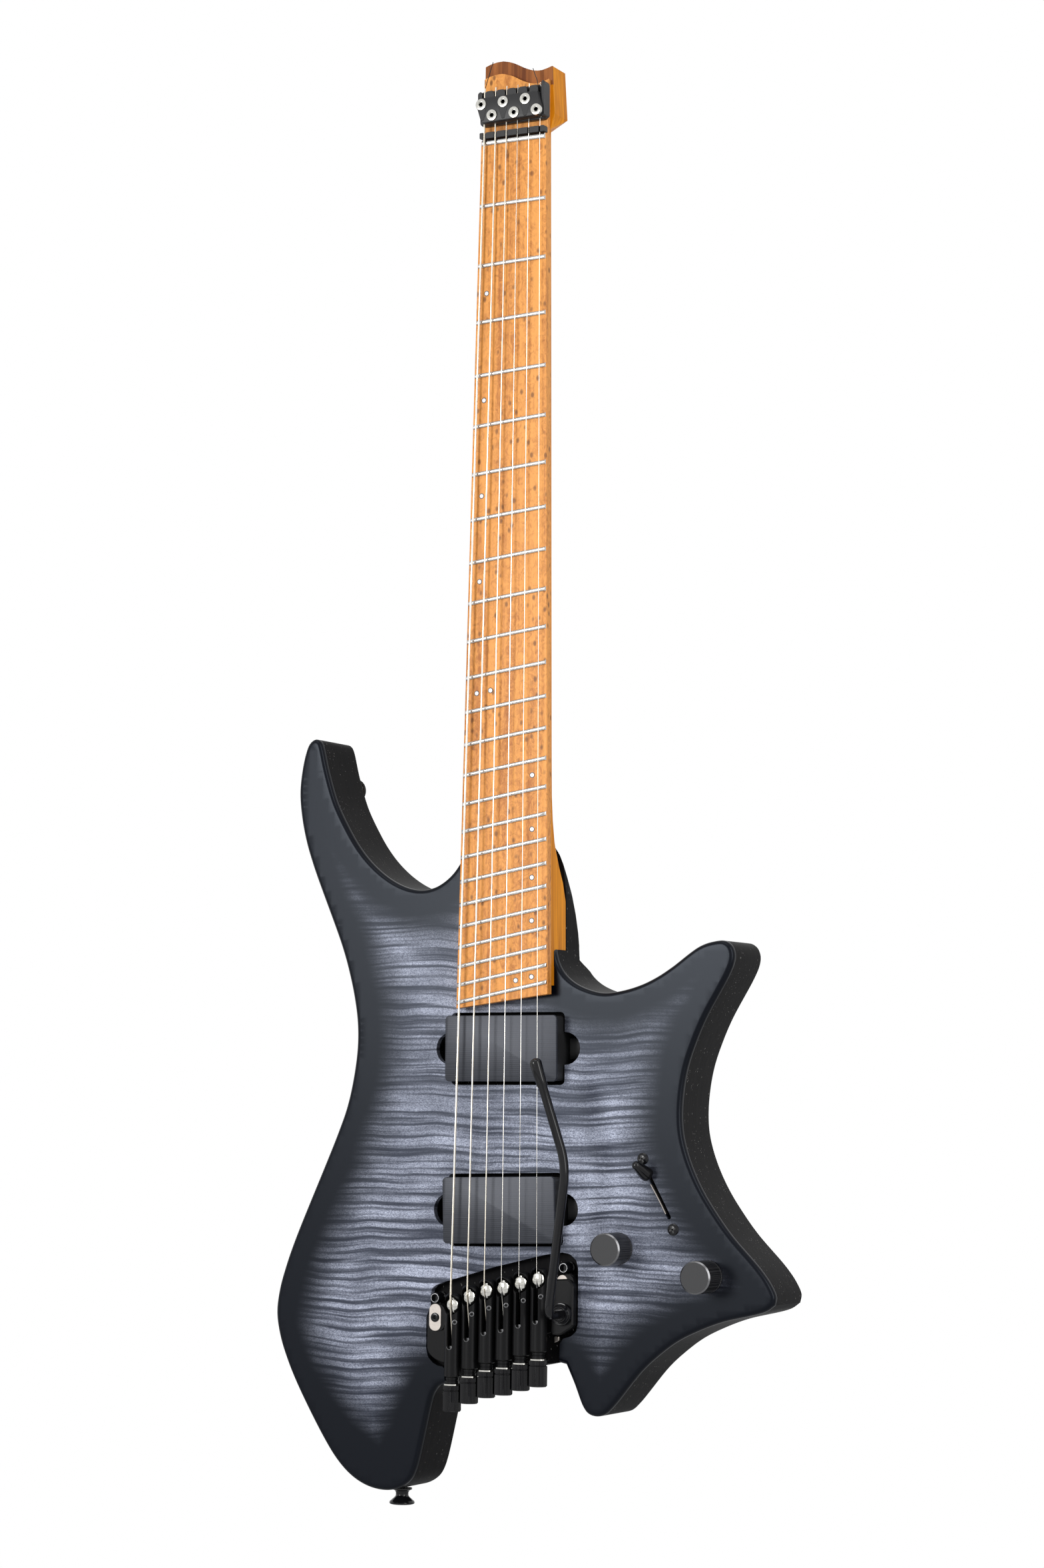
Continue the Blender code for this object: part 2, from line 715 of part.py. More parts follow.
def heel_back_y(x, down):
    """Back surface of the body's tongue behind the neck, down is the distance below its nose."""
    rise = BODY_BACK_Y + 0.0008 - HEEL_DEPTH
    t = min(1.0, max(0.0, down / 0.058))
    y = HEEL_DEPTH + rise * (0.08 + 0.92 * math.sin(t * math.pi / 2) ** 0.85)
    side = max(0.0, x - 0.012)
    return y - side ** 2 * HEEL_SIDE_ROUND * (1.2 - 0.6 * t)


def heel_cutter():
    """Everything behind the tongue's back surface, swept up and away on the bass side."""
    sections = [(-0.095, 0.060), (-0.026, 0.0), (-0.012, 0.0), (0.012, 0.0), (0.018, 0.0),
                (0.023, 0.0), (0.027, 0.0), (0.036, 0.0)]
    downs = (-0.012, 0.0, 0.006, 0.013, 0.021, 0.030, 0.040, 0.050, 0.058, 0.066)
    nose = BRIDGE_Z + TONGUE_TOP
    behind = BODY_BACK_Y + 0.020
    rings = []
    for x, lift in sections:
        surface = [(x, min(heel_back_y(x, d), behind - 0.004), nose + lift - d) for d in downs]
        last = (x, BODY_BACK_Y + 0.004, surface[-1][2] - 0.012)
        rings.append(surface + [last, (x, behind, last[2]), (x, behind, surface[0][2])])
    return loft("heel_cutter", rings, "cutters")


def belly_cutter():
    """A shallow scoop in the bass edge of the back, where the player's ribs lie."""
    bm = bmesh.new()
    bmesh.ops.create_uvsphere(bm, u_segments=20, v_segments=10, radius=1)
    centre = (BELLY_X, BODY_BACK_Y + BELLY_RADII[1] - BELLY_DEPTH, BRIDGE_Z + BELLY_Z)
    size = Matrix.Diagonal((*BELLY_RADII, 1))
    bmesh.ops.transform(bm, matrix=Matrix.Translation(centre) @ size, verts=bm.verts)
    return mesh_object("belly_cutter", bm, "cutters")


def pocket_cutter():
    """The neck's plan with its side clearance, down to the heel's seat."""
    top = BRIDGE_Z + TONGUE_TOP + 0.004
    gap = SEAT_GAP
    plan = [(-board_half(top) - gap, top), (board_half(top) + gap, top)]
    for side in (1, -1):
        x = side * (board_half(neck_end_z(side * BOARD_HALF_END)) + gap)
        plan.append((x, neck_end_z(x) - gap))
    return slab("pocket_cutter", plan, PICKUP_FACE_Y, HEEL_DEPTH + gap, "cutters")


def pickup_place(which):
    if which == "neck":
        return (0.0, board_end_z(0) - NECK_PICKUP_SETBACK), math.radians(NECK_PICKUP_TILT)
    return (0.0, BRIDGE_Z + BRIDGE_PICKUP_Z), math.radians(BRIDGE_PICKUP_TILT)


def pickup_route_cutters(which):
    """The rectangular well and the shallower round ears at its ends."""
    at, tilt = pickup_place(which)
    half_x = PICKUP_LENGTH / 2 + PICKUP_MARGIN_X
    half_z = PICKUP_WIDTH / 2 + PICKUP_MARGIN_Z
    well = slab(which + "_well_cutter", rounded_box(half_x, half_z, PICKUP_CORNER), PICKUP_FACE_Y,
                PICKUP_FLOOR_Y, "cutters", tilt=tilt, at=at)
    ears = slab(which + "_ear_cutter",
                rounded_box(PICKUP_EAR_X + PICKUP_EAR_RADIUS, PICKUP_EAR_RADIUS,
                            PICKUP_EAR_RADIUS * 0.98, 6),
                PICKUP_FACE_Y, PICKUP_EAR_Y, "cutters", tilt=tilt, at=at)
    return well, ears


def pivot_line():
    """The tremolo's axis: where its knife edges bear on the lower sides of the two posts."""
    drop_down = POST_RADIUS + SEAT_GAP
    bass = Vector(bridge_point(POST_BASS, PIVOT_Y))
    treble = Vector(bridge_point(POST_TREBLE, PIVOT_Y))
    along = (treble - bass).normalized()
    down = Vector((along.z, 0, -along.x))
    return bass + down * drop_down, treble + down * drop_down, along, down


def below_pivot(x, distance):
    """The point at x on the line that runs beside the pivot line, below it by the distance."""
    bass, treble, along, down = pivot_line()
    return (x, bass.z + along.z * (x - bass.x) / along.x - distance / along.x)


def spring_cavity_outline(grow=0.0):
    high = BRIDGE_Z + SPRING_CAVITY_TOP + grow
    half = SPRING_CAVITY_HALF + grow
    return round_corners([below_pivot(-half, BLOCK_SWING + grow), below_pivot(half, BLOCK_SWING + grow),
                          (half, high), (-half, high)], SPRING_CAVITY_CORNER, 2)


def control_outline(grow=0.0):
    points = at_bridge(CONTROL_CAVITY)
    middle = sum((Vector(p) for p in points), Vector((0, 0))) / len(points)
    grown = []
    for p in points:
        away = Vector(p) - middle
        grown.append(tuple(Vector(p) + away.normalized() * grow))
    return round_corners(grown, 0.006, 1)


def body_cutters():
    """What is cut through the cap and into the core, each with the pieces it is cut from."""
    both = [pocket_cutter()]
    both += pickup_route_cutters("neck")
    both += pickup_route_cutters("bridge")
    recess = round_corners(at_bridge(RECESS_OUTLINE), 0.002, 1)
    both.append(slab("recess_cutter", recess, PICKUP_FACE_Y, RECESS_FLOOR_Y, "cutters"))
    lean = math.radians(SELECTOR_LEAN)
    slot = rounded_box(SELECTOR_SLOT_WIDTH / 2, SELECTOR_SLOT_LENGTH / 2,
                       SELECTOR_SLOT_WIDTH / 2 * 0.95, 2)
    both.append(slab("selector_slot_cutter", slot, PICKUP_FACE_Y, CONTROL_CEILING_Y + 0.001,
                     "cutters", tilt=lean, at=(SELECTOR_X, BRIDGE_Z + SELECTOR_Z)))
    for name, pot in (("volume", VOLUME_POT), ("tone", TONE_POT)):
        both.append(rod(name + "_hole_cutter", POT_BUSH_RADIUS + SEAT_GAP,
                        bridge_point(pot, PICKUP_FACE_Y),
                        bridge_point(pot, CONTROL_CEILING_Y + 0.001)))
    behind = BODY_BACK_Y + 0.010
    core = [heel_cutter(), belly_cutter()]
    half = SPRING_CAVITY_HALF - 0.001
    route = [below_pivot(-half, BLOCK_SWING - 0.001), below_pivot(half, BLOCK_SWING - 0.001),
             below_pivot(half, 0.003), below_pivot(-half, 0.003)]
    core.append(slab("block_route_cutter", route, RECESS_FLOOR_Y - 0.001,
                     SPRING_CAVITY_FLOOR_Y + 0.001, "cutters"))
    core.append(slab("spring_cavity_cutter", spring_cavity_outline(), SPRING_CAVITY_FLOOR_Y,
                     behind, "cutters"))
    ledge_y = BODY_BACK_Y - COVER_THICKNESS - SEAT_GAP
    core.append(slab("spring_ledge_cutter", spring_cavity_outline(COVER_LEDGE + SEAT_GAP), ledge_y,
                     behind, "cutters"))
    core.append(slab("control_cavity_cutter", control_outline(), CONTROL_CEILING_Y, behind,
                     "cutters"))
    core.append(slab("control_ledge_cutter", control_outline(COVER_LEDGE + SEAT_GAP), ledge_y,
                     behind, "cutters"))
    jack = (JACK_X, JACK_Z)
    core.append(rod("jack_plate_cutter", JACK_PLATE_RADIUS + SEAT_GAP,
                    bridge_point(jack, BODY_BACK_Y - JACK_PLATE_THICKNESS - SEAT_GAP),
                    bridge_point(jack, behind), 24))
    core.append(rod("jack_hole_cutter", JACK_BARREL_RADIUS + SEAT_GAP,
                    bridge_point(jack, BODY_BACK_Y - JACK_DEPTH - SEAT_GAP),
                    bridge_point(jack, behind)))
    return both, core


def build_body():
    cap_back = BODY_FRONT_Y + CAP_THICKNESS
    cap = slab("top_cap", cap_outline(), BODY_FRONT_Y, cap_back, material="charcoal_maple")
    bevel_rim(cap, 1, CAP_EDGE_RADIUS, 2)
    core = slab("body_core", core_outline(), cap_back + SEAT_GAP, BODY_BACK_Y,
                material="black_ash")
    bevel_rim(core, -1, BACK_EDGE_RADIUS, 2)
    both, core_only = body_cutters()
    for cutter in both:
        cut(cap, cutter)
    for cutter in both + core_only:
        cut(core, cutter)
    shade(cap)
    shade(core)


def neck_ring(z_left, z_right, x_left, x_right, side_depth, back_left, back_right, depth):
    """One section of the neck: straight sides, slanting cheeks and a flat back."""
    def z(x):
        return z_left + (z_right - z_left) * (x - x_left) / (x_right - x_left)
    points = ((x_left, 0.0), (x_left, side_depth), (back_left, depth), (back_right, depth),
              (x_right, side_depth), (x_right, 0.0))
    return [(x, y, z(x)) for x, y in points]


def build_neck():
    def plain(z, side, bl, br, depth):
        half = board_half(z)
        return neck_ring(z, z, -half, half, side, -half + bl, half - br, depth)

    heel = BRIDGE_Z + TONGUE_TOP
    wave_top = max(z for x, z in WAVE_OUTER) + 0.003
    rings = [
        neck_ring(wave_top, wave_top, HEAD_BASS_X, HEAD_TREBLE_X_TOP - 0.0004, HEAD_DEPTH - 0.001,
                  HEAD_BASS_X + 0.001, HEAD_TREBLE_X_TOP - 0.0014, HEAD_DEPTH),
        neck_ring(HEAD_WING_Z, HEAD_WING_Z, HEAD_BASS_X, HEAD_TREBLE_X_LOW, HEAD_DEPTH - 0.001,
                  HEAD_BASS_X + 0.001, HEAD_TREBLE_X_LOW - 0.001, HEAD_DEPTH),
        plain(HEAD_WING_Z - HEAD_WING_DROP, 0.0006, 0.0070, 0.0110, NECK_DEPTH_NUT + 0.0010),
        plain(-0.015, 0.0006, 0.0072, 0.0114, NECK_DEPTH_NUT),
        plain(heel + 0.050, 0.0006, 0.0100, 0.0110, NECK_DEPTH_BODY),
        plain(heel + 0.024, 0.0008, 0.0098, 0.0100, NECK_DEPTH_BODY + 0.0005),
        plain(heel + 0.010, 0.0020, 0.0080, 0.0080, NECK_DEPTH_BODY + 0.0012),
        plain(heel - 0.004, 0.0046, 0.0060, 0.0060, NECK_DEPTH_BODY + 0.0018),
        plain(heel - 0.015, 0.0095, 0.0040, 0.0040, HEEL_DEPTH - 0.0003),
        plain(heel - 0.024, 0.0150, 0.0020, 0.0020, HEEL_DEPTH),
        plain(heel - 0.034, HEEL_DEPTH - 0.0006, 0.0006, 0.0006, HEEL_DEPTH),
    ]
    half = board_half(neck_end_z(0))
    left, right = neck_end_z(-half), neck_end_z(half)
    rings.append(neck_ring(left, right, -half, half, HEEL_DEPTH - 0.0006, -half + 0.0006,
                           half - 0.0006, HEEL_DEPTH))
    neck = loft("neck", rings, material="roasted_maple")
    wave = smooth_run(WAVE_OUTER, 2)
    above = [(0.030, 0.060), (-0.030, 0.060), (-0.030, wave[0][1] - 0.001)]
    wave_cutter = slab("head_wave_cutter", above + wave + [(0.030, wave[-1][1] + 0.004)], -0.010,
                       HEAD_DEPTH + 0.010, "cutters")
    cut(neck, wave_cutter)
    end = neck_end_z(0)
    channel = box("truss_channel_cutter",
                  (-TRUSS_WIDTH / 2 - SEAT_GAP, -0.002, end + 0.002),
                  (TRUSS_WIDTH / 2 + SEAT_GAP, TRUSS_DEPTH + SEAT_GAP, TRUSS_TOP_Z + SEAT_GAP),
                  "cutters")
    cut(neck, channel)
    nut_end = end + 0.002 + SEAT_GAP + TRUSS_NUT_LENGTH
    nut_room = rod("truss_nut_cutter", TRUSS_NUT_RADIUS + SEAT_GAP,
                   (0, TRUSS_DEPTH / 2, end + 0.002), (0, TRUSS_DEPTH / 2, nut_end + SEAT_GAP))
    cut(neck, nut_room)
    shade(neck)
    truss = box("truss_rod", (-TRUSS_WIDTH / 2, SEAT_GAP, nut_end - 0.001),
                (TRUSS_WIDTH / 2, TRUSS_DEPTH, TRUSS_TOP_Z), material="plain_steel")
    nut = rod("truss_nut_blank", TRUSS_NUT_RADIUS, (0, TRUSS_DEPTH / 2, nut_end - TRUSS_NUT_LENGTH),
              (0, TRUSS_DEPTH / 2, nut_end), 12)
    fuse(truss, nut)


def board_ring(z_of_x, half, crown, back):
    """A section of the fretboard: flat back and arched face."""
    ring = [(half, back, z_of_x(half)), (-half, back, z_of_x(-half))]
    for k in range(BOARD_SPANS + 1):
        x = -half + 2 * half * k / BOARD_SPANS
        ring.append((x, -crown + camber(x), z_of_x(x)))
    return ring


def fret_bar(bm, n):
    """One fret: a low crown on a narrow root, following the board's arc."""
    half = board_half(fret_z(n, 0)) - FRET_END_INSET
    tang, shoulder = FRET_WIDTH * 0.5, FRET_WIDTH * 0.24
    section = ((-tang, FRET_TANG, 0.0), (-tang, -0.0001, 0.0), (-shoulder, -FRET_HEIGHT, 1.0),
               (shoulder, -FRET_HEIGHT, 1.0), (tang, -0.0001, 0.0), (tang, FRET_TANG, 0.0))
    rows = []
    for k in range(BOARD_SPANS + 1):
        x = -half + 2 * half * k / BOARD_SPANS
        inset = (FRET_END_LEAN if k == 0 else -FRET_END_LEAN if k == BOARD_SPANS else 0.0)
        row = []
        for along, y, crown in section:
            px = x + inset * crown
            row.append(bm.verts.new((px, -BOARD_CROWN + camber(x) + y, fret_z(n, x) + along)))
        rows.append(row)
    for low, high in zip(rows, rows[1:]):
        for k in range(len(low)):
            m = (k + 1) % len(low)
            bm.faces.new((low[k], low[m], high[m], high[k]))
    bm.faces.new(rows[0][::-1])
    bm.faces.new(rows[-1])


def build_fretboard():
    back = -SEAT_GAP
    start = lambda x: BOARD_STEP_Z + nut_z(x)
    board = loft("fretboard", [board_ring(start, BOARD_HALF_NUT, BOARD_CROWN, back),
                               board_ring(board_end_z, BOARD_HALF_END, BOARD_CROWN, back)],
                 material="birdseye_maple")
    wave = [(x, z - WAVE_SETBACK) for x, z in smooth_run(WAVE_OUTER, 2)]
    low, high = wave[0][0], wave[-1][0]
    scale = 2 * HEAD_LAYER_HALF / (high - low)
    wave = [((x - low) * scale - HEAD_LAYER_HALF, z) for x, z in wave]
    plan = [(HEAD_LAYER_HALF, -0.001), (-HEAD_LAYER_HALF, -0.001)] + wave
    head = slab("head_layer_blank", plan, -HEAD_LAYER, back, "cutters")
    fuse(board, head)
    bm = bmesh.new()
    for n in range(FRET_COUNT + 1):
        fret_bar(bm, n)
    frets = mesh_object("fret_blank", bm, "cutters")
    fuse(board, frets)


def build_strings():
    for i in range(STRING_COUNT):
        radius = STRING_DIAMETERS[i] / 2
        x_nut, x_low = nut_x(i), saddle_x(i)
        y_nut = string_y(i, 0)
        z_s, z_m = contact_z(i), saddle_z(i)
        lean = (x_low - x_nut) / z_s
        y_end = STRING_END_Y
        points = [(x_nut, y_nut, STRING_STUB_Z), (x_nut, y_nut, GUIDE_Z), (x_nut, y_nut, 0.0),
                  (x_low, string_y(i, z_s), z_s)]
        x_end = x_low
        points.append((x_end, y_end, z_m - CARRIAGE_TOP + 0.003))
        points.append((x_end, y_end, z_m - STRING_END))
        tube("string_%d" % (i + 1), points, radius, 1 if radius > 0.0002 else 0, "string_steel")


def lock_tilt():
    return math.atan2(NUT_DROP, NUT_SPREAD)


def build_guide():
    half = BOARD_HALF_NUT - 0.0001
    tilt = lock_tilt()
    guide = slab("string_guide", rounded_box(half, GUIDE_WIDTH / 2, 0.0003, 1), GUIDE_FACE_Y,
                 -HEAD_LAYER - SEAT_GAP, material="black_metal", tilt=tilt, at=(0, GUIDE_Z))
    for i in range(STRING_COUNT):
        wide = STRING_DIAMETERS[i] / 2 + GUIDE_GROOVE_SIDE
        cut(guide, box("guide_groove_cutter_%d" % (i + 1),
                       (nut_x(i) - wide, GUIDE_FACE_Y - 0.001, GUIDE_Z - GUIDE_WIDTH),
                       (nut_x(i) + wide, GUIDE_GROOVE_Y, GUIDE_Z + GUIDE_WIDTH), "cutters"))


def build_lock():
    """The block that holds the strings' ends: a base with tabs, the clamp on it and six screws."""
    tilt = lock_tilt()
    middle = (LOCK_BOTTOM + LOCK_TOP) / 2
    base = rounded_box(LOCK_HALF, (LOCK_TOP - LOCK_BOTTOM) / 2, LOCK_CORNER, 2)
    lock = slab("string_lock", base, LOCK_BASE_Y, -HEAD_LAYER - SEAT_GAP, material="black_metal",
                tilt=tilt, at=(0, middle))
    clamp = slab("lock_clamp_blank", round_corners(LOCK_CLAMP, 0.0012, 1), LOCK_FACE_Y,
                 LOCK_BASE_Y + 0.0005, "cutters", bevel=0.0004)
    fuse(lock, clamp)
    for i in range(STRING_COUNT - 1):
        x = (nut_x(i) + nut_x(i + 1)) / 2
        top = LOCK_TOP + nut_z(x) - 0.0003
        fuse(lock, box("lock_tab_blank_%d" % (i + 1),
                       (x - LOCK_TAB_HALF, LOCK_TAB_Y, top - LOCK_TAB_HEIGHT),
                       (x + LOCK_TAB_HALF, LOCK_BASE_Y + 0.001, top), "cutters"))
    for i in range(STRING_COUNT):
        z = (LOCK_SCREW_LOW, LOCK_SCREW_HIGH)[i % 2] + nut_z(nut_x(i))
        y_top = LOCK_FACE_Y - LOCK_SCREW_PROUD
        fuse(lock, rod("lock_screw_blank_%d" % (i + 1), LOCK_SCREW_RADIUS,
                       (nut_x(i), LOCK_FACE_Y + 0.001, z), (nut_x(i), y_top, z), 8))
        cut(lock, rod("lock_socket_cutter_%d" % (i + 1), LOCK_SCREW_SOCKET,
                      (nut_x(i), y_top + 0.0014, z), (nut_x(i), y_top - 0.001, z), 6))
        wide = LOCK_CHANNEL_WIDTH / 2
        cut(lock, box("lock_channel_cutter_%d" % (i + 1),
                      (nut_x(i) - wide, LOCK_CHANNEL_Y, LOCK_BOTTOM - 0.002),
                      (nut_x(i) + wide, LOCK_BASE_Y - 0.0001, LOCK_TOP + 0.002), "cutters"))


def build_pickup(which):
    at, tilt = pickup_place(which)
    shell = slab(which + "_pickup", rounded_box(PICKUP_LENGTH / 2, PICKUP_WIDTH / 2, PICKUP_CORNER, 2),
                 PICKUP_FACE_Y, PICKUP_FLOOR_Y - SEAT_GAP, material="pickup_shell", bevel=0.0006,
                 tilt=tilt, at=at)
    tab_y = PICKUP_EAR_Y - SEAT_GAP
    half = PICKUP_EAR_X + PICKUP_TAB_RADIUS
    tabs = slab(which + "_tab_blank",
                rounded_box(half, PICKUP_TAB_RADIUS, PICKUP_TAB_RADIUS * 0.98, 3),
                tab_y - PICKUP_TAB_THICKNESS, tab_y, "cutters", tilt=tilt, at=at)
    fuse(shell, tabs)


def build_posts():
    floor = RECESS_FLOOR_Y - SEAT_GAP
    for name, post in (("pivot_post_bass", POST_BASS), ("pivot_post_treble", POST_TREBLE)):
        height = floor - POST_TOP_Y
        flange = 0.0012
        groove = floor - PIVOT_Y
        profile = [(0, height - 0.0025), (POST_SOCKET_RADIUS, height - 0.0025),
                   (POST_SOCKET_RADIUS, height), (POST_RADIUS - 0.0003, height),
                   (POST_RADIUS, height - 0.0003), (POST_RADIUS, groove + 0.0004),
                   (POST_RADIUS - 0.0004, groove), (POST_RADIUS, groove - 0.0004),
                   (POST_RADIUS, flange), (POST_FLANGE_RADIUS, flange), (POST_FLANGE_RADIUS, 0),
                   (0, 0)]
        shade(turned(name, profile, 10, (0, -1, 0), bridge_point(post, floor),
                     material="black_metal"))


def plate_outline():
    """Wing, long front edge under the pivot line, and the end under the arm."""
    right = ARM_BLOCK_RIGHT_X - PLATE_INSET
    low = BRIDGE_Z + ARM_BLOCK_BOTTOM + PLATE_INSET
    return [below_pivot(WING_LEFT_X, WING_TOP), below_pivot(WING_RIGHT_X, WING_TOP),
            below_pivot(WING_RIGHT_X + 0.0008, PLATE_TOP), below_pivot(ARM_BLOCK_LEFT_X, PLATE_TOP),
            below_pivot(right - 0.002, PLATE_TOP), (right, BRIDGE_Z + ARM_BLOCK_TOP - 0.002),
            (right, low + 0.005), (right - 0.008, low), (ARM_BLOCK_LEFT_X + PLATE_INSET, low + 0.001),
            below_pivot(0.020, PLATE_LENGTH), below_pivot(WING_RIGHT_X, PLATE_LENGTH + 0.003),
            below_pivot(WING_LEFT_X + 0.004, PLATE_LENGTH - 0.001),
            below_pivot(WING_LEFT_X, PLATE_LENGTH - 0.006)]


def arm_block_outline():
    top, low = BRIDGE_Z + ARM_BLOCK_TOP, BRIDGE_Z + ARM_BLOCK_BOTTOM
    left, right = ARM_BLOCK_LEFT_X, ARM_BLOCK_RIGHT_X
    return [(left, low + 0.0006), (left, top - 0.0007), (right - 0.0030, top),
            (right, top - 0.0030), (right, low + 0.0050), (right - 0.0080, low)]


def build_plate():
    bass, treble, along, down = pivot_line()
    back = PLATE_FRONT_Y + PLATE_THICKNESS
    plate = slab("tremolo_plate", round_corners(plate_outline(), 0.0016, 1), PLATE_FRONT_Y, back,
                 material="black_metal", bevel=0.0004)
    fuse(plate, slab("arm_block_blank", round_corners(arm_block_outline(), 0.001, 1),
                     ARM_BLOCK_FACE_Y, PLATE_FRONT_Y + 0.002, "cutters", bevel=0.0008))
    for name, post in (("bass", POST_BASS), ("treble", POST_TREBLE)):
        centre = Vector(bridge_point(post, 0)) + down * (POST_RADIUS + KNIFE_SETBACK + KNIFE_LENGTH / 2)
        knife = rounded_box(KNIFE_WIDTH / 2, KNIFE_LENGTH / 2, KNIFE_WIDTH / 2 * 0.95, 3)
        fuse(plate, slab(name + "_knife_blank", knife, PLATE_FRONT_Y - KNIFE_THICKNESS,
                         PLATE_FRONT_Y + 0.001, "cutters", at=(centre.x, centre.z)))
    cut(plate, rod("arm_bore_cutter", ARM_RADIUS + SEAT_GAP,
                   (ARM_X, ARM_FOOT_Y + SEAT_GAP, BRIDGE_Z + ARM_Z),
                   (ARM_X, ARM_BLOCK_FACE_Y - 0.004, BRIDGE_Z + ARM_Z)))
    plan = [below_pivot(BLOCK_LEFT_X, BLOCK_NEAR), below_pivot(BLOCK_RIGHT_X, BLOCK_NEAR),
            below_pivot(BLOCK_RIGHT_X, BLOCK_FAR), below_pivot(BLOCK_LEFT_X, BLOCK_FAR)]
    outline = round_corners(plan, 0.002, 1)
    block = slab("tremolo_block", outline, back + SEAT_GAP, BLOCK_BACK_Y, material="plain_steel",
                 bevel=0.0005)
    for sign in (-1, 1):
        x = sign * SPRING_X
        hole = spring_anchor(x)
        cut(block, rod("spring_hole_cutter_%d" % (sign + 2), SPRING_WIRE + RUNNING_GAP,
                       (x, hole.y, hole.z - 0.004), (x, hole.y, hole.z + 0.020), 8))


def spring_anchor(x):
    """Where a spring's end sits in the block, halfway through its thickness."""
    return Vector((x, BLOCK_BACK_Y - SPRING_HOOK_BACK, below_pivot(x, BLOCK_NEAR + SPRING_HOOK_DEEP)[1]))


def build_springs():
    claw_z = BRIDGE_Z + SPRING_CAVITY_TOP - 0.0080
    top = BRIDGE_Z + SPRING_CAVITY_TOP
    claw = box("spring_claw", (-CLAW_WIDTH / 2, CLAW_Y - CLAW_HEIGHT / 2, claw_z - CLAW_THICKNESS),
               (CLAW_WIDTH / 2, CLAW_Y + CLAW_HEIGHT / 2, claw_z), material="plain_steel")
    for k, sign in enumerate((-1, 1)):
        x = sign * SPRING_X
        fuse(claw, rod("claw_screw_blank_%d" % k, 0.0018,
                       (x * 0.5, CLAW_Y, claw_z - CLAW_THICKNESS - 0.0015),
                       (x * 0.5, CLAW_Y, top - SEAT_GAP), 10))
        anchor = spring_anchor(x)
        start = claw_z - CLAW_THICKNESS - SEAT_GAP - SPRING_WIRE
        hook = anchor.z + 0.0060
        length = start - 0.006 - hook
        points = [(x, anchor.y, anchor.z), (x, anchor.y, hook - 0.001)]
        for s in range(SPRING_TURNS * SPRING_STEPS + 1):
            a = 2 * math.pi * s / SPRING_STEPS
            z = hook + length * s / (SPRING_TURNS * SPRING_STEPS)
            points.append((x + SPRING_RADIUS * math.sin(a), anchor.y - SPRING_RADIUS
                           + SPRING_RADIUS * math.cos(a), z))
        points += [(x, anchor.y, start - 0.004), (x, anchor.y, start)]
        tube("tremolo_spring_%d" % (k + 1), points, SPRING_WIRE, 0, "plain_steel")


def barrel_mesh():
    """A tuner barrel along Z with its saddle's middle at the origin, axis at the origin."""
    r = BARREL_RADIUS
    profile = [(0, BARREL_TOP), (r - BARREL_CHAMFER, BARREL_TOP), (r, BARREL_TOP - BARREL_CHAMFER),
               (r, -BARREL_END), (0, -BARREL_END)]
    barrel = turned("barrel_blank", profile, BARREL_SIDES, (0, 0, 1), (0, 0, 0))
    foot_back = PLATE_FRONT_Y - SEAT_GAP - BARREL_Y
    foot = box("foot_blank", (-BARREL_FOOT_WIDTH / 2, r * 0.4, -BARREL_FOOT_FAR),
               (BARREL_FOOT_WIDTH / 2, foot_back, -BARREL_FOOT_NEAR), "cutters")
    fuse(barrel, foot)
    seat = rounded_box(SADDLE_WIDTH / 2 + SADDLE_MARGIN, SADDLE_HEIGHT / 2 + SADDLE_MARGIN,
                       SADDLE_WIDTH / 2, 2)
    cutters = [slab("seat_cutter", seat, -r - 0.002, SADDLE_SEAT + SEAT_GAP, "cutters")]
    floor = SLOT_FLOOR_Y - BARREL_Y
    half = SLOT_WIDTH / 2
    slot = [(half, 0), (-half, 0), (-half, half - SLOT_END), (-half * 0.6, -SLOT_END),
            (half * 0.6, -SLOT_END), (half, half - SLOT_END)]
    cutters.append(slab("slot_cutter", slot, -r - 0.002, floor, "cutters"))
    cutters.append(box("string_way_cutter", (-0.0011, -r - 0.002, 0), (0.0011, -0.0026, 0.012),
                       "cutters"))
    cutters.append(rod("tuner_bore_cutter", TUNER_BORE_RADIUS, (0, 0, -BARREL_END - 0.002),
                       (0, 0, -CARRIAGE_TOP + 0.0030), 8))
    for cutter in cutters:
        cut(barrel, cutter)
    barrel = settle(barrel)
    drop(foot, *cutters)
    shade(barrel)
    mesh = barrel.data
    drop(barrel)
    return mesh


def tuner_knob_mesh():
    """The knurled knob, its bright washer and neck, and the screw that draws the carriage."""
    start = -WASHER_START - WASHER_THICKNESS
    length = TUNER_KNOB_END + start
    knob = slab("knob_blank", fluted(TUNER_KNOB_RADIUS, TUNER_FLUTES, TUNER_FLUTE_DEPTH),
                0, length)
    turn = Matrix.Translation((0, 0, -TUNER_KNOB_END)) @ Matrix.Rotation(math.radians(90), 4, "X")
    knob.data.transform(turn @ knob.matrix_world)
    knob.matrix_world = Matrix.Identity(4)
    r = TUNER_NECK_RADIUS
    wide = TUNER_KNOB_RADIUS - TUNER_FLUTE_DEPTH
    profile = [(0, -STEM_TOP), (STEM_RADIUS, -STEM_TOP), (STEM_RADIUS, -BARREL_END - SEAT_GAP),
               (r, -BARREL_END - SEAT_GAP), (r, -WASHER_START), (wide, -WASHER_START),
               (wide, start - 0.0006), (0, start - 0.0006)]
    stem = turned("stem_blank", profile, 10, (0, 0, 1), (0, 0, 0), "cutters")
    fuse(knob, stem)
    knob = settle(knob)
    drop(stem)
    shade(knob)
    mesh = knob.data
    drop(knob)
    return mesh


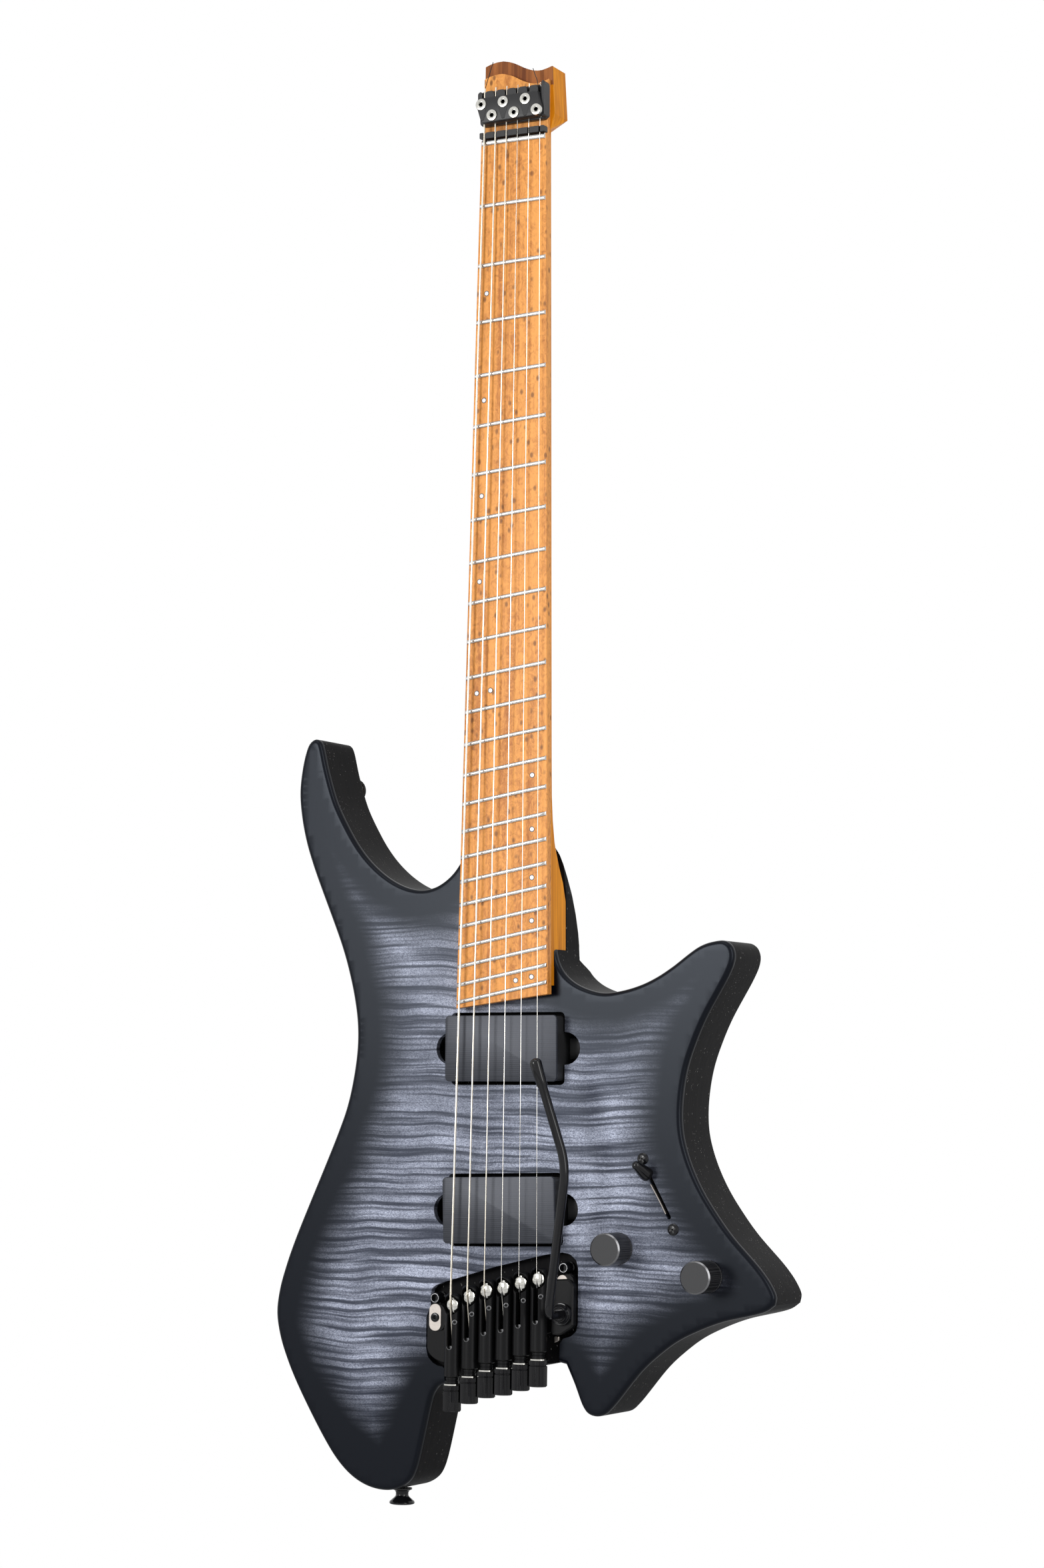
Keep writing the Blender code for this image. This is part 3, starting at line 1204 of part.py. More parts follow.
def carriage_profile():
    """The slug that holds a string's end and runs on the knob's screw: blind holes in both ends."""
    bottom = -CARRIAGE_TOP - CARRIAGE_LENGTH
    r = CARRIAGE_RADIUS
    bore = STEM_RADIUS + SEAT_GAP
    deep = -CARRIAGE_TOP - 0.0047
    hollow = -CARRIAGE_TOP - 0.0062
    return [(0, deep), (CARRIAGE_BORE_RADIUS, deep), (CARRIAGE_BORE_RADIUS, -CARRIAGE_TOP),
            (r, -CARRIAGE_TOP), (r, bottom), (bore, bottom), (bore, hollow), (0, hollow)]


def build_tuners():
    barrel = barrel_mesh()
    knob = tuner_knob_mesh()
    profile = carriage_profile()
    for i in range(STRING_COUNT):
        at = (saddle_x(i), BARREL_Y, saddle_z(i))
        number = i + 1
        for name, mesh, material in (("tuner_barrel_%d", barrel, "black_metal"),
                                     ("tuner_knob_%d", knob, "black_metal")):
            ob = bpy.data.objects.new(name % number, mesh)
            ob.location = at
            if not mesh.materials:
                mesh.materials.append(materials[material])
            place(ob, "parts")
        shade(turned("string_carriage_%d" % number, profile, 6, (0, 0, 1), at,
                     material="plain_steel"))
        build_saddle(i)


def build_saddle(i):
    """The bright egg-shaped saddle piece, grooved for its string."""
    radius = STRING_DIAMETERS[i] / 2
    crest = STRING_Y_BRIDGE + camber(saddle_x(i)) + radius + SEAT_GAP
    bm = bmesh.new()
    bmesh.ops.create_uvsphere(bm, u_segments=10, v_segments=6, radius=1)
    depth = BARREL_Y + SADDLE_SEAT - crest
    centre = (saddle_x(i), crest + depth / 2, saddle_z(i))
    size = (SADDLE_WIDTH / 2, depth / 2, SADDLE_HEIGHT / 2, 1)
    bmesh.ops.transform(bm, matrix=Matrix.Diagonal(size), verts=bm.verts)
    saddle = mesh_object("saddle_%d" % (i + 1), bm, material="bright_metal")
    saddle.location = centre
    shade(saddle, 60)


def arc_corner(before, corner, after, reach, steps):
    """Points rounding a corner of a path."""
    corner = Vector(corner)
    start = corner + (Vector(before) - corner).normalized() * reach
    end = corner + (Vector(after) - corner).normalized() * reach
    return [(1 - t) ** 2 * start + 2 * t * (1 - t) * corner + t ** 2 * end
            for t in (k / steps for k in range(steps + 1))]


def build_arm():
    z = BRIDGE_Z + ARM_Z
    foot = Vector((ARM_X, ARM_FOOT_Y, z))
    elbow = Vector((ARM_X, ARM_ELBOW_Y, z))
    bend = Vector((ARM_BEND[0], ARM_BEND[1], BRIDGE_Z + ARM_BEND[2]))
    tip = Vector((ARM_TIP[0], ARM_TIP[1], BRIDGE_Z + ARM_TIP[2]))
    points = [foot]
    points += arc_corner(foot, elbow, bend, ARM_ELBOW_RADIUS, 4)
    points += arc_corner(elbow, bend, tip, ARM_BEND_RADIUS, 4)
    back = (bend - tip).normalized()
    grip = tip + back * ARM_TIP_LENGTH
    points += [grip, grip - back * 0.001, tip - back * -0.001, tip]
    swell = ARM_TIP_SWELL
    radii = [1.0] * (len(points) - 3) + [swell, swell, swell * 0.6]
    shade(tube("tremolo_arm", points, ARM_RADIUS, 2, "black_metal", radii), 50)
    inner = ARM_RADIUS + SEAT_GAP
    floor = ARM_BLOCK_FACE_Y - SEAT_GAP
    step = COLLAR_HEIGHT * 0.55
    profile = [(inner, 0), (inner, COLLAR_HEIGHT), (COLLAR_RADIUS - 0.0020, COLLAR_HEIGHT),
               (COLLAR_RADIUS - 0.0016, step), (COLLAR_RADIUS - 0.0004, step),
               (COLLAR_RADIUS, step - 0.0004), (COLLAR_RADIUS, 0), (inner, 0)]
    shade(turned("arm_collar", profile, 12, (0, -1, 0), (ARM_X, floor, z), material="black_metal"))


def build_selector():
    lean = math.radians(SELECTOR_LEAN)
    at = (SELECTOR_X, BRIDGE_Z + SELECTOR_Z)
    top = CONTROL_CEILING_Y + SEAT_GAP
    plate_back = top + SELECTOR_FRAME_THICKNESS
    plate = slab("selector_switch",
                 rounded_box(SELECTOR_FRAME_WIDTH / 2, SELECTOR_FRAME_LENGTH / 2, 0.002, 1),
                 top, plate_back, material="plain_steel", tilt=lean, at=at)
    inner = SELECTOR_BLADE_THICKNESS / 2 + RUNNING_GAP + 0.0004
    length = SELECTOR_BODY_LENGTH / 2
    for sign in (-1, 1):
        near, far = sign * inner, sign * (SELECTOR_FRAME_WIDTH / 2 - 0.0002)
        cheek = [(near, -length), (far, -length), (far, length), (near, length)]
        fuse(plate, slab("selector_cheek_blank_%d" % (sign + 2), cheek, plate_back - 0.0005,
                         plate_back + SELECTOR_BODY_DEPTH, "cutters", tilt=lean, at=at))
    slot_half = SELECTOR_SLOT_LENGTH / 2
    slot = [(-inner, -slot_half), (inner, -slot_half), (inner, slot_half), (-inner, slot_half)]
    cut(plate, slab("selector_plate_cutter", slot, top - 0.002, plate_back + 0.0004, "cutters",
                    tilt=lean, at=at))
    for sign in (-1, 1):
        low, high = sorted((sign * (length - 0.003), sign * length))
        bridge = [(-inner - 0.001, low), (inner + 0.001, low), (inner + 0.001, high),
                  (-inner - 0.001, high)]
        fuse(plate, slab("selector_bridge_blank_%d" % (sign + 2), bridge, plate_back + 0.006,
                         plate_back + SELECTOR_BODY_DEPTH, "cutters", tilt=lean, at=at))
    build_selector_lever(lean, at)


def build_selector_lever(lean, at):
    """The sprung blade and its black tip, thrown to the end of the slot nearest the neck."""
    throw = math.radians(SELECTOR_THROW)
    along = Vector((-math.sin(lean), 0, math.cos(lean)))
    out = Vector((0, -1, 0))
    pivot = Vector((at[0], SELECTOR_PIVOT_Y, at[1]))
    up = (along * math.sin(throw) + out * math.cos(throw)).normalized()
    across = along.cross(out).normalized()
    side = up.cross(across).normalized()
    frame = Matrix((across, side, up)).transposed().to_4x4()
    frame.translation = pivot
    half_w, half_t = SELECTOR_BLADE_WIDTH / 2, SELECTOR_BLADE_THICKNESS / 2
    blade = box("selector_lever", (-half_t, -half_w, -half_w),
                (half_t, half_w, SELECTOR_LEVER_LENGTH), material="bright_metal")
    blade.data.transform(frame)
    base = SELECTOR_LEVER_LENGTH - 0.0005
    r, e = SELECTOR_TIP_RADIUS, SELECTOR_TIP_END_RADIUS
    length = SELECTOR_TIP_LENGTH
    profile = [(0, length), (e * 0.7, length - e * 0.25), (e, length - e), (r, 0.0030),
               (r, 0.0010), (r - 0.0008, 0), (0, 0)]
    tip = turned("selector_tip_blank", profile, 14, tuple(up), tuple(pivot + up * base), "cutters")
    fuse(blade, tip)


def knob_parts(name, pot):
    """A potentiometer under the top and its knob above."""
    x, z = pot[0], BRIDGE_Z + pot[1]
    ceiling = CONTROL_CEILING_Y + SEAT_GAP
    nut_base = BODY_FRONT_Y - SEAT_GAP
    shaft_top = KNOB_TOP_Y + KNOB_CROWN + SEAT_GAP
    profile = [(0, -shaft_top), (POT_SHAFT_RADIUS, -shaft_top),
               (POT_SHAFT_RADIUS, -nut_base + POT_NUT_HEIGHT + 0.0006),
               (POT_BUSH_RADIUS, -nut_base + POT_NUT_HEIGHT + 0.0006),
               (POT_BUSH_RADIUS, -nut_base + POT_NUT_HEIGHT),
               (POT_NUT_RADIUS, -nut_base + POT_NUT_HEIGHT), (POT_NUT_RADIUS, -nut_base),
               (POT_BUSH_RADIUS, -nut_base), (POT_BUSH_RADIUS, -ceiling), (POT_RADIUS, -ceiling),
               (POT_RADIUS, -ceiling - POT_DEPTH + 0.001), (POT_RADIUS - 0.001, -ceiling - POT_DEPTH),
               (0, -ceiling - POT_DEPTH)]
    shade(turned(name + "_pot", profile, 8, (0, -1, 0), (x, 0, z), material="plain_steel"))
    base = BODY_FRONT_Y - 2 * SEAT_GAP
    knob = slab(name + "_knob", fluted(KNOB_RADIUS, KNOB_FLUTES, KNOB_FLUTE_DEPTH), KNOB_TOP_Y, base,
                material="black_metal", bevel=KNOB_CHAMFER, at=(x, z))
    skirt = base - KNOB_SKIRT_DEPTH
    inner = POT_SHAFT_RADIUS + SEAT_GAP
    profile = [(0, -KNOB_TOP_Y - KNOB_CROWN), (inner, -KNOB_TOP_Y - KNOB_CROWN), (inner, -skirt),
               (KNOB_RADIUS - KNOB_WALL, -skirt), (KNOB_RADIUS - KNOB_WALL, -base - 0.002),
               (0, -base - 0.002)]
    cut(knob, turned(name + "_knob_cutter", profile, 12, (0, -1, 0), (x, 0, z), "cutters"))


def build_covers():
    back = BODY_BACK_Y
    front = back - COVER_THICKNESS
    slab("spring_cover", spring_cavity_outline(COVER_LEDGE), front, back, material="black_plastic")
    slab("control_cover", control_outline(COVER_LEDGE), front, back, material="black_plastic")


def strap_button(name, axis, at):
    h, f, w = BUTTON_HEIGHT, BUTTON_FLANGE_RADIUS, BUTTON_WAIST_RADIUS
    profile = [(0, h - 0.0012), (0.0018, h - 0.0006), (0.0022, h), (f - 0.0008, h), (f, h - 0.0006),
               (f, h - 0.0016), (f - 0.0014, h - 0.0026), (w, h - 0.0046), (w, 0.0022),
               (BUTTON_BASE_RADIUS, 0.0008), (BUTTON_BASE_RADIUS, 0), (0, 0)]
    shade(turned(name, profile, 12, axis, at, material="black_metal"))


def build_fittings():
    tail_z = BRIDGE_Z + TAIL_BUTTON[1] - SEAT_GAP
    strap_button("strap_button_tail", (0, 0, -1), (TAIL_BUTTON[0], TAIL_BUTTON_Y, tail_z))
    strap_button("strap_button_horn", (0, 1, 0), bridge_point(HORN_BUTTON, BODY_BACK_Y + SEAT_GAP))
    h = JACK_DEPTH - SEAT_GAP
    plate, r, b = JACK_PLATE_THICKNESS, JACK_PLATE_RADIUS, JACK_BORE_RADIUS
    profile = [(0, 0.0022), (b, 0.0022), (b, h), (r - 0.0006, h), (r, h - 0.0006), (r, h - plate),
               (JACK_BARREL_RADIUS, h - plate), (JACK_BARREL_RADIUS, 0), (0, 0)]
    shade(turned("output_jack", profile, 20, (0, 1, 0),
                 bridge_point((JACK_X, JACK_Z), BODY_BACK_Y - h), material="black_metal"))


def build():
    clear_scene()
    make_collections()
    make_materials()
    build_body()
    build_neck()
    build_fretboard()
    build_guide()
    build_lock()
    build_strings()
    build_pickup("neck")
    build_pickup("bridge")
    build_posts()
    build_plate()
    build_springs()
    build_tuners()
    build_arm()
    build_selector()
    knob_parts("volume", VOLUME_POT)
    knob_parts("tone", TONE_POT)
    build_covers()
    build_fittings()


build()
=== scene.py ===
"""Looks for the headless electric guitar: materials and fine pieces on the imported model."""
import json
from math import atan2, ceil, cos, pi, radians, sin, sqrt, tau

import bmesh
import bpy
import numpy as np
from mathutils import Matrix, Vector
from mathutils.geometry import delaunay_2d_cdt

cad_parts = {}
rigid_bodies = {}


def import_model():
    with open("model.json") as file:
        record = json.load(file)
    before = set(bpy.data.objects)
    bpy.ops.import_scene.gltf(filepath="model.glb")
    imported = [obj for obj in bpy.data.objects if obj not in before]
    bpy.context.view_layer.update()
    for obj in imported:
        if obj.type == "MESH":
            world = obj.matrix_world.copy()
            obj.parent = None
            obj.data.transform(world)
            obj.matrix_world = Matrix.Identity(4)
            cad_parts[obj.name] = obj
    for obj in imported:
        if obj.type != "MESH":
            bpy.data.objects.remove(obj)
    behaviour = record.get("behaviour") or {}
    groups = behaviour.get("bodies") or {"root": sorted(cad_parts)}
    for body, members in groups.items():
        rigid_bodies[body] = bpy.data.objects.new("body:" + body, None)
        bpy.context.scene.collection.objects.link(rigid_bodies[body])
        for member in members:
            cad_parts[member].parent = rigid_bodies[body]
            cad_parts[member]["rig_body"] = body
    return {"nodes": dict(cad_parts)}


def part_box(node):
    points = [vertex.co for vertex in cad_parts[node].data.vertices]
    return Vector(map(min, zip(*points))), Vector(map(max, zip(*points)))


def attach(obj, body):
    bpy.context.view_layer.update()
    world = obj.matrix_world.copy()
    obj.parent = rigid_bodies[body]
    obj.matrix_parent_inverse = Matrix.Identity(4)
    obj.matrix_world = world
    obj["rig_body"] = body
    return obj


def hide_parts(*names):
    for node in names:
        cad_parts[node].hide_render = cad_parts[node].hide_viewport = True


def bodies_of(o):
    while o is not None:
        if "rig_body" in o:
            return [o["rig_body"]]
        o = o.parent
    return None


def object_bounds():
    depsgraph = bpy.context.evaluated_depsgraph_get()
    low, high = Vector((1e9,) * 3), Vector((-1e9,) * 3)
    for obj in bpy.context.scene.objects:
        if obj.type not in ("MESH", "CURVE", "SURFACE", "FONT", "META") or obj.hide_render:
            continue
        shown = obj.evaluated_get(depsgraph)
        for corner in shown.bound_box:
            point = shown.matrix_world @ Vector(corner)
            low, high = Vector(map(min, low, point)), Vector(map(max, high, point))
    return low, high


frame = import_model()
cad_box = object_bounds()
nodes = frame["nodes"]

# Sizes shared with the part, in metres. X grows to the treble side, Y to the back, Z upwards.
GAP = 0.0003
SCALE_BASS, SCALE_TREBLE, NUT_DROP = 0.6477, 0.635, 0.0005
SETBACK = 0.0029
BRIDGE_Z = -(SCALE_BASS + SCALE_TREBLE) / 2 - NUT_DROP / 2 - SETBACK
NUT_SPREAD, BRIDGE_SPREAD = 0.0347, 0.0525
SADDLE_EXTRA = (0.0026, 0.0025, 0.0028, 0.0021, 0.0032, 0.0054)  # beyond each string's scale
BOARD_RADIUS, BOARD_CROWN = 0.508, 0.0064
BOARD_HALF_NUT, BOARD_HALF_END = 0.0204, 0.0281
HEAD_HALF, HEAD_LAYER = 0.0202, 0.0035
CAP_FRONT, CAP_BACK, CAP_ROUND = 0.003, 0.007, 0.0026
BARREL_Y, BARREL_RADIUS = -0.0068, 0.0047
SADDLE_HALF_X, SADDLE_HALF_Z = 0.0041, 0.0051


# Materials

class Graph:
    """A node tree with short calls for what is used here."""

    def __init__(self, tree):
        self.tree = tree
        self.coords = None

    def node(self, kind, inputs=(), **settings):
        made = self.tree.nodes.new("ShaderNode" + kind)
        for key, value in settings.items():
            setattr(made, key, value)
        for key, value in dict(inputs).items():
            self.put(made.inputs[key], value)
        return made

    def put(self, socket, value):
        if isinstance(value, bpy.types.NodeSocket):
            self.tree.links.new(value, socket)
        elif isinstance(value, (tuple, list)) and socket.type == "RGBA":
            socket.default_value = (*value[:3], 1)
        else:
            socket.default_value = value

    def math(self, op, a, b=0.0):
        return self.node("Math", {0: a, 1: b}, operation=op).outputs[0]

    def plus(self, a, b):
        return self.math("ADD", a, b)

    def times(self, a, b):
        return self.math("MULTIPLY", a, b)

    def place(self, scale=(1, 1, 1), turn=(0, 0, 0), shift=(0, 0, 0), of=None):
        """The object's own coordinates in metres, or the given ones, scaled."""
        if not self.coords:
            self.coords = self.node("TexCoord").outputs["Object"]
        return self.node("Mapping", {0: of or self.coords, 1: shift, 2: turn, 3: scale}).outputs[0]

    def along(self, axis, **placing):
        """One coordinate: 0, 1 or 2 for X, Y or Z."""
        return self.node("SeparateXYZ", {0: self.place(**placing)}).outputs[axis]

    def noise(self, scale, detail=2, rough=0.5, distort=0.0, **placing):
        """Noise with as many grains in a metre as the scale says for each axis."""
        settings = {"Vector": self.place(scale, **placing), "Scale": 1.0, "Detail": detail,
                    "Roughness": rough, "Distortion": distort}
        return self.node("TexNoise", settings).outputs[0]

    def cells(self, scale):
        made = self.node("TexVoronoi", {"Vector": self.place(scale), "Scale": 1.0})
        return made.outputs["Distance"]

    def ramp(self, value, low, high, start=0.0, end=1.0):
        """Value from low..high mapped smoothly to start..end."""
        return self.node("MapRange", {0: value, 1: low, 2: high, 3: start, 4: end},
                         interpolation_type="SMOOTHSTEP").outputs[0]

    def mix(self, factor, a, b):
        return self.node("Mix", {0: factor, 6: a, 7: b}, data_type="RGBA").outputs[2]


class Paint(Graph):
    """A material. Values that are the same all over are set on the shader itself."""

    def __init__(self, name, color=(0.5, 0.5, 0.5), rough=0.5, metal=0.0, **fixed):
        self.mat = bpy.data.materials.new(name)
        self.mat.use_nodes = True
        super().__init__(self.mat.node_tree)
        self.shader = self.tree.nodes["Principled BSDF"]
        fixed.update(Base_Color=(*color, 1), Roughness=rough, Metallic=metal)
        for key, value in fixed.items():
            self.shader.inputs[key.replace("_", " ")].default_value = value

    def color(self, factor, a, b):
        self.put(self.shader.inputs["Base Color"], self.mix(factor, a, b))

    def rough(self, value):
        self.put(self.shader.inputs["Roughness"], value)

    def bump(self, height, strength, distance=0.0001):
        made = self.node("Bump", {"Strength": strength, "Distance": distance, "Height": height})
        self.put(self.shader.inputs["Normal"], made.outputs[0])


def flamed_top():
    """Blue-grey figured maple with a dark burst towards the body's rim, and painted shade that
    darkens its lower end further.
    """
    g = Paint("flamed_top", rough=0.29, Specular_IOR_Level=0.15,
              Specular_Tint=(0.8, 0.88, 1.0, 1))
    sway = g.times(g.plus(g.noise((14, 14, 9)), -0.5), 0.012)
    moved = g.node("VectorMath", {0: g.place(), 1: g.node("CombineXYZ", {2: sway}).outputs[0]},
                   operation="ADD").outputs[0]
    bands = g.ramp(g.noise((11, 1, 400), 1.5, 0.45, of=moved), 0.36, 0.64)
    thin = g.noise((22, 1, 1000), 2, 0.55, of=moved)
    figure = g.ramp(g.plus(g.times(bands, 0.55), g.times(thin, 0.6)), 0.15, 1.0)
    cloud = g.noise((26, 26, 34), shift=(5, 0, 1))
    grain = g.noise((1500, 1500, 2600), 2, 0.6)
    light = g.mix(g.ramp(grain, 0.3, 0.7), (0.19, 0.205, 0.27), (0.62, 0.66, 0.8))
    wood = g.mix(g.times(figure, g.ramp(cloud, 0.3, 0.7, 0.45, 1.0)), (0.028, 0.032, 0.048), light)
    rim = g.node("Attribute", attribute_name="rim").outputs["Fac"]
    reach = g.plus(rim, g.times(g.plus(g.noise((30, 30, 30)), -0.5), 0.22))
    # Painted shade: towards the body's lower end the burst is pushed further in, darkening the tail
    # as shade.
    reach = g.math("SUBTRACT", reach, g.ramp(g.along(2), -0.69, -0.775, 0.0, 0.45))
    g.color(g.ramp(reach, 0.26, 0.98), (0.0016, 0.002, 0.004), wood)
    g.bump(grain, 0.05)
    return g.mat


def black_ash():
    """Black wood with open pores that show as short pale strokes."""
    g = Paint("black_ash", rough=0.42, Specular_IOR_Level=0.02)
    pores = g.ramp(g.cells((1300, 1300, 300)), 0.2, 0.11)
    spots = g.times(pores, g.ramp(g.noise((260, 260, 12)), 0.46, 0.6))
    spots = g.times(spots, g.ramp(g.noise((700, 700, 200), 1, shift=(3, 1, 2)), 0.45, 0.6))
    streak = g.noise((420, 420, 9), 3)
    black = g.mix(streak, (0.004, 0.004, 0.0045), (0.012, 0.0115, 0.012))
    g.color(spots, black, (0.42, 0.41, 0.39))
    g.bump(g.plus(streak, g.times(spots, 0.5)), 0.2, 0.0002)
    return g.mat


def roasted_maple():
    """Oiled neck wood, browner on the face of the head beyond its layer."""
    g = Paint("roasted_maple", rough=0.46, Specular_IOR_Level=0.12)
    grain = g.noise((170, 170, 5), 4, 0.6, 0.4)
    fine = g.noise((1400, 1400, 60))
    wood = g.mix(g.ramp(grain, 0.3, 0.7), (0.52, 0.16, 0.004), (0.92, 0.345, 0.01))
    wood = g.mix(g.ramp(fine, 0.62, 0.8), wood, (0.34, 0.12, 0.018))
    face = g.times(g.ramp(g.along(2), 0.0305, 0.031), g.ramp(g.along(1), 0.0009, 0.0006))
    dark = g.mix(g.ramp(grain, 0.35, 0.65), (0.115, 0.032, 0.01), (0.33, 0.115, 0.032))
    g.color(face, wood, dark)
    g.bump(fine, 0.12)
    return g.mat


def birdseye_maple():
    """Fretboard wood with a mottled grain, bird's eyes and fine dark strokes."""
    g = Paint("birdseye_maple", rough=0.44, Specular_IOR_Level=0.25)
    grain = g.noise((260, 260, 7), 4, 0.6, 0.5)
    mottle = g.noise((300, 300, 190), 4, 0.7, 1.5, shift=(2, 0, 7))
    tone = g.plus(g.times(grain, 0.5), g.times(mottle, 0.5))
    wood = g.mix(g.ramp(tone, 0.32, 0.6), (0.4, 0.128, 0.02), (0.8, 0.335, 0.072))
    eyes = g.times(g.ramp(g.cells((210, 210, 130)), 0.3, 0.1),
                   g.ramp(g.noise((60, 60, 34)), 0.4, 0.5))
    wood = g.mix(g.times(eyes, 0.75), wood, (0.12, 0.04, 0.01))
    fine = g.noise((1600, 1600, 90))
    g.color(g.ramp(fine, 0.66, 0.84), wood, (0.24, 0.09, 0.025))
    g.bump(fine, 0.12)
    return g.mat


def metal(name, color, rough, metallic=1.0, **fixed):
    g = Paint(name, color, rough, metallic, **fixed)
    cloud, wear = g.noise((900, 900, 900), 3), 0.08
    g.rough(g.plus(g.times(cloud, wear), rough - wear / 2))
    g.color(cloud, [c * 0.8 for c in color], [min(1, c * 1.15) for c in color])
    return g.mat


def pickup_cover():
    """Dark brushed cover with fine lines along the pickup."""
    g = Paint("pickup_cover", (0.05, 0.05, 0.055), 0.3, 0.35, Specular_IOR_Level=0.3)
    rows = g.math("SINE", g.along(2, scale=(1, 1, 5900)))
    lines = g.plus(g.times(g.noise((30, 400, 5200), 2, 0.7), 0.6), g.times(rows, 0.07))
    g.color(g.ramp(lines, 0.05, 0.6), (0.016, 0.018, 0.023), (0.044, 0.047, 0.058))
    g.rough(g.ramp(lines, 0.0, 0.6, 0.32, 0.46))
    g.bump(lines, 0.3, 0.00008)
    return g.mat


def plastic(name, rough, low, high):
    """A grey between low and high, with a fine grain."""
    g = Paint(name, (high, high, high), rough, Specular_IOR_Level=0.3)
    dots = g.noise((2600, 2600, 2600))
    g.color(dots, (low, low, low * 1.05), (high, high, high * 1.05))
    g.bump(dots, 0.2)
    return g.mat


def knurled_black():
    """Black metal with a fine diamond knurl."""
    g = Paint("knurled_black", (0.02, 0.02, 0.021), 0.3, 0.3, Specular_IOR_Level=0.3)
    rows = [g.math("SINE", g.times(g.along(2, turn=(0, turn, 0)), 7500)) for turn in (0.6, -0.6)]
    knurl = g.math("MAXIMUM", *rows)
    g.color(g.ramp(knurl, 0.2, 1.0), (0.008, 0.008, 0.009), (0.04, 0.04, 0.042))
    g.bump(knurl, 0.6, 0.0002)
    return g.mat


mats = {
    "top": flamed_top(),
    "ash": black_ash(),
    "neck": roasted_maple(),
    "board": birdseye_maple(),
    "fret": metal("fret_steel", (0.55, 0.54, 0.52), 0.2),
    "string": metal("string_steel", (0.52, 0.5, 0.46), 0.24),
    "wound": metal("wound_steel", (0.5, 0.46, 0.39), 0.3),
    "steel": metal("plain_steel", (0.32, 0.32, 0.33), 0.38),
    "bright": metal("bright_metal", (0.62, 0.61, 0.57), 0.14),
    "smoke": metal("smoke_metal", (0.16, 0.16, 0.165), 0.26),
    "satin": metal("satin_nickel", (0.34, 0.31, 0.285), 0.42),
    "black": metal("black_metal", (0.006, 0.006, 0.0065), 0.34, 0.1, Specular_IOR_Level=0.12),
    "gloss": metal("black_gloss", (0.005, 0.005, 0.006), 0.13, 0.0, Specular_IOR_Level=0.28),
    "matte": plastic("matte_black", 0.55, 0.022, 0.036),
    "knurl": knurled_black(),
    "cover": pickup_cover(),
    "plastic": plastic("black_plastic", 0.42, 0.01, 0.022),
    "dot": plastic("pearl_dot", 0.25, 0.62, 0.86),
}

# The look of each node of the part, kept or replaced
DRESSED = {
    "ash": ["body_core"],
    "top": ["top_cap"],
    "neck": ["neck"],
    "board": ["fretboard"],
    "string": ["string_1", "string_2", "string_3"],
    "wound": ["string_4", "string_5", "string_6"],
    "steel": ["truss_rod", "tremolo_block", "spring_claw", "tremolo_spring_1", "tremolo_spring_2",
              "selector_switch", "volume_pot", "tone_pot"],
    "bright": ["saddle_%d" % n for n in range(1, 7)],
    "smoke": ["string_carriage_%d" % n for n in range(1, 7)],
    "black": ["string_lock", "pivot_post_bass", "pivot_post_treble", "tremolo_plate",
              "volume_knob", "tone_knob", "strap_button_tail", "strap_button_horn",
              "output_jack"] + ["tuner_%s_%d" % (kind, n) for kind in ("barrel", "knob")
                                for n in range(1, 7)],
    "gloss": ["tremolo_arm", "arm_collar"],
    "plastic": ["string_guide", "neck_pickup", "bridge_pickup", "selector_lever", "spring_cover",
                "control_cover"],
}
for look, names in DRESSED.items():
    for name in names:
        own = nodes[name].data.materials
        if not own:
            own.append(mats[look])
        for k in range(len(own)):
            own[k] = mats[look]


# Forms

def mm(*rows):
    """Rows of millimetres in metres."""
    return [tuple(v / 1000 for v in row) for row in rows]


def smooth_run(points, steps=5):
    """Points on a smooth curve through the given ones."""
    points = [Vector(p) for p in points]
    knots = [2 * points[0] - points[1]] + points + [2 * points[-1] - points[-2]]
    run = []
    for a, b, c, d in zip(knots, knots[1:], knots[2:], knots[3:]):
        for k in range(steps):
            t = k / steps
            run.append(0.5 * (2 * b + (c - a) * t + (2 * a - 5 * b + 4 * c - d) * t ** 2
                              + (3 * b - a - 3 * c + d) * t ** 3))
    return run + [points[-1]]


def corner_run(before, corner, after, reach, steps):
    """Points on the curve that cuts a corner, as far as the reach on both sides of it."""
    start, end = (corner + (p - corner).normalized() * reach for p in (before, after))
    return [(1 - t) ** 2 * start + 2 * t * (1 - t) * corner + t ** 2 * end
            for t in (k / steps for k in range(steps + 1))]


def round_corners(points, radius, steps=4):
    points = [Vector(p) for p in points]
    outline = []
    for before, corner, after in zip(points[-1:] + points, points, points[1:] + points[:1]):
        reach = min(radius, (before - corner).length * 0.45, (after - corner).length * 0.45)
        outline += corner_run(before, corner, after, reach, steps)
    return outline


def rounded_box(half_x, half_z, radius, steps=6):
    outline = []
    for sx, sz, start in ((1, 1, 0), (-1, 1, 90), (-1, -1, 180), (1, -1, 270)):
        for k in range(steps + 1):
            a = radians(start + 90 * k / steps)
            outline.append((sx * (half_x - radius) + radius * cos(a),
                            sz * (half_z - radius) + radius * sin(a)))
    return outline


def rectangle(x, half, low, high):
    return [(x - half, low), (x + half, low), (x + half, high), (x - half, high)]


def drawn_in(outline, amounts):
    """The outline with each edge moved inwards by its amount."""
    points = [Vector(p) for p in outline]
    after = points[1:] + points[:1]
    side = 1 if sum(a.x * b.y - b.x * a.y for a, b in zip(points, after)) > 0 else -1
    ways = [(b - a).normalized() for a, b in zip(points, after)]
    normals = [Vector((-d.y, d.x)) * side for d in ways]
    moved = []
    for k, p in enumerate(points):
        n0, n1, d0, d1 = normals[k - 1], normals[k], amounts[k - 1], amounts[k]
        cross = n0.x * n1.y - n0.y * n1.x
        if abs(cross) < 0.25:
            moved.append(p + (n0 + n1).normalized() * (d0 + d1) / 2)
        else:
            moved.append(p + Vector((d0 * n1.y - d1 * n0.y, d1 * n0.x - d0 * n1.x)) / cross)
    return moved


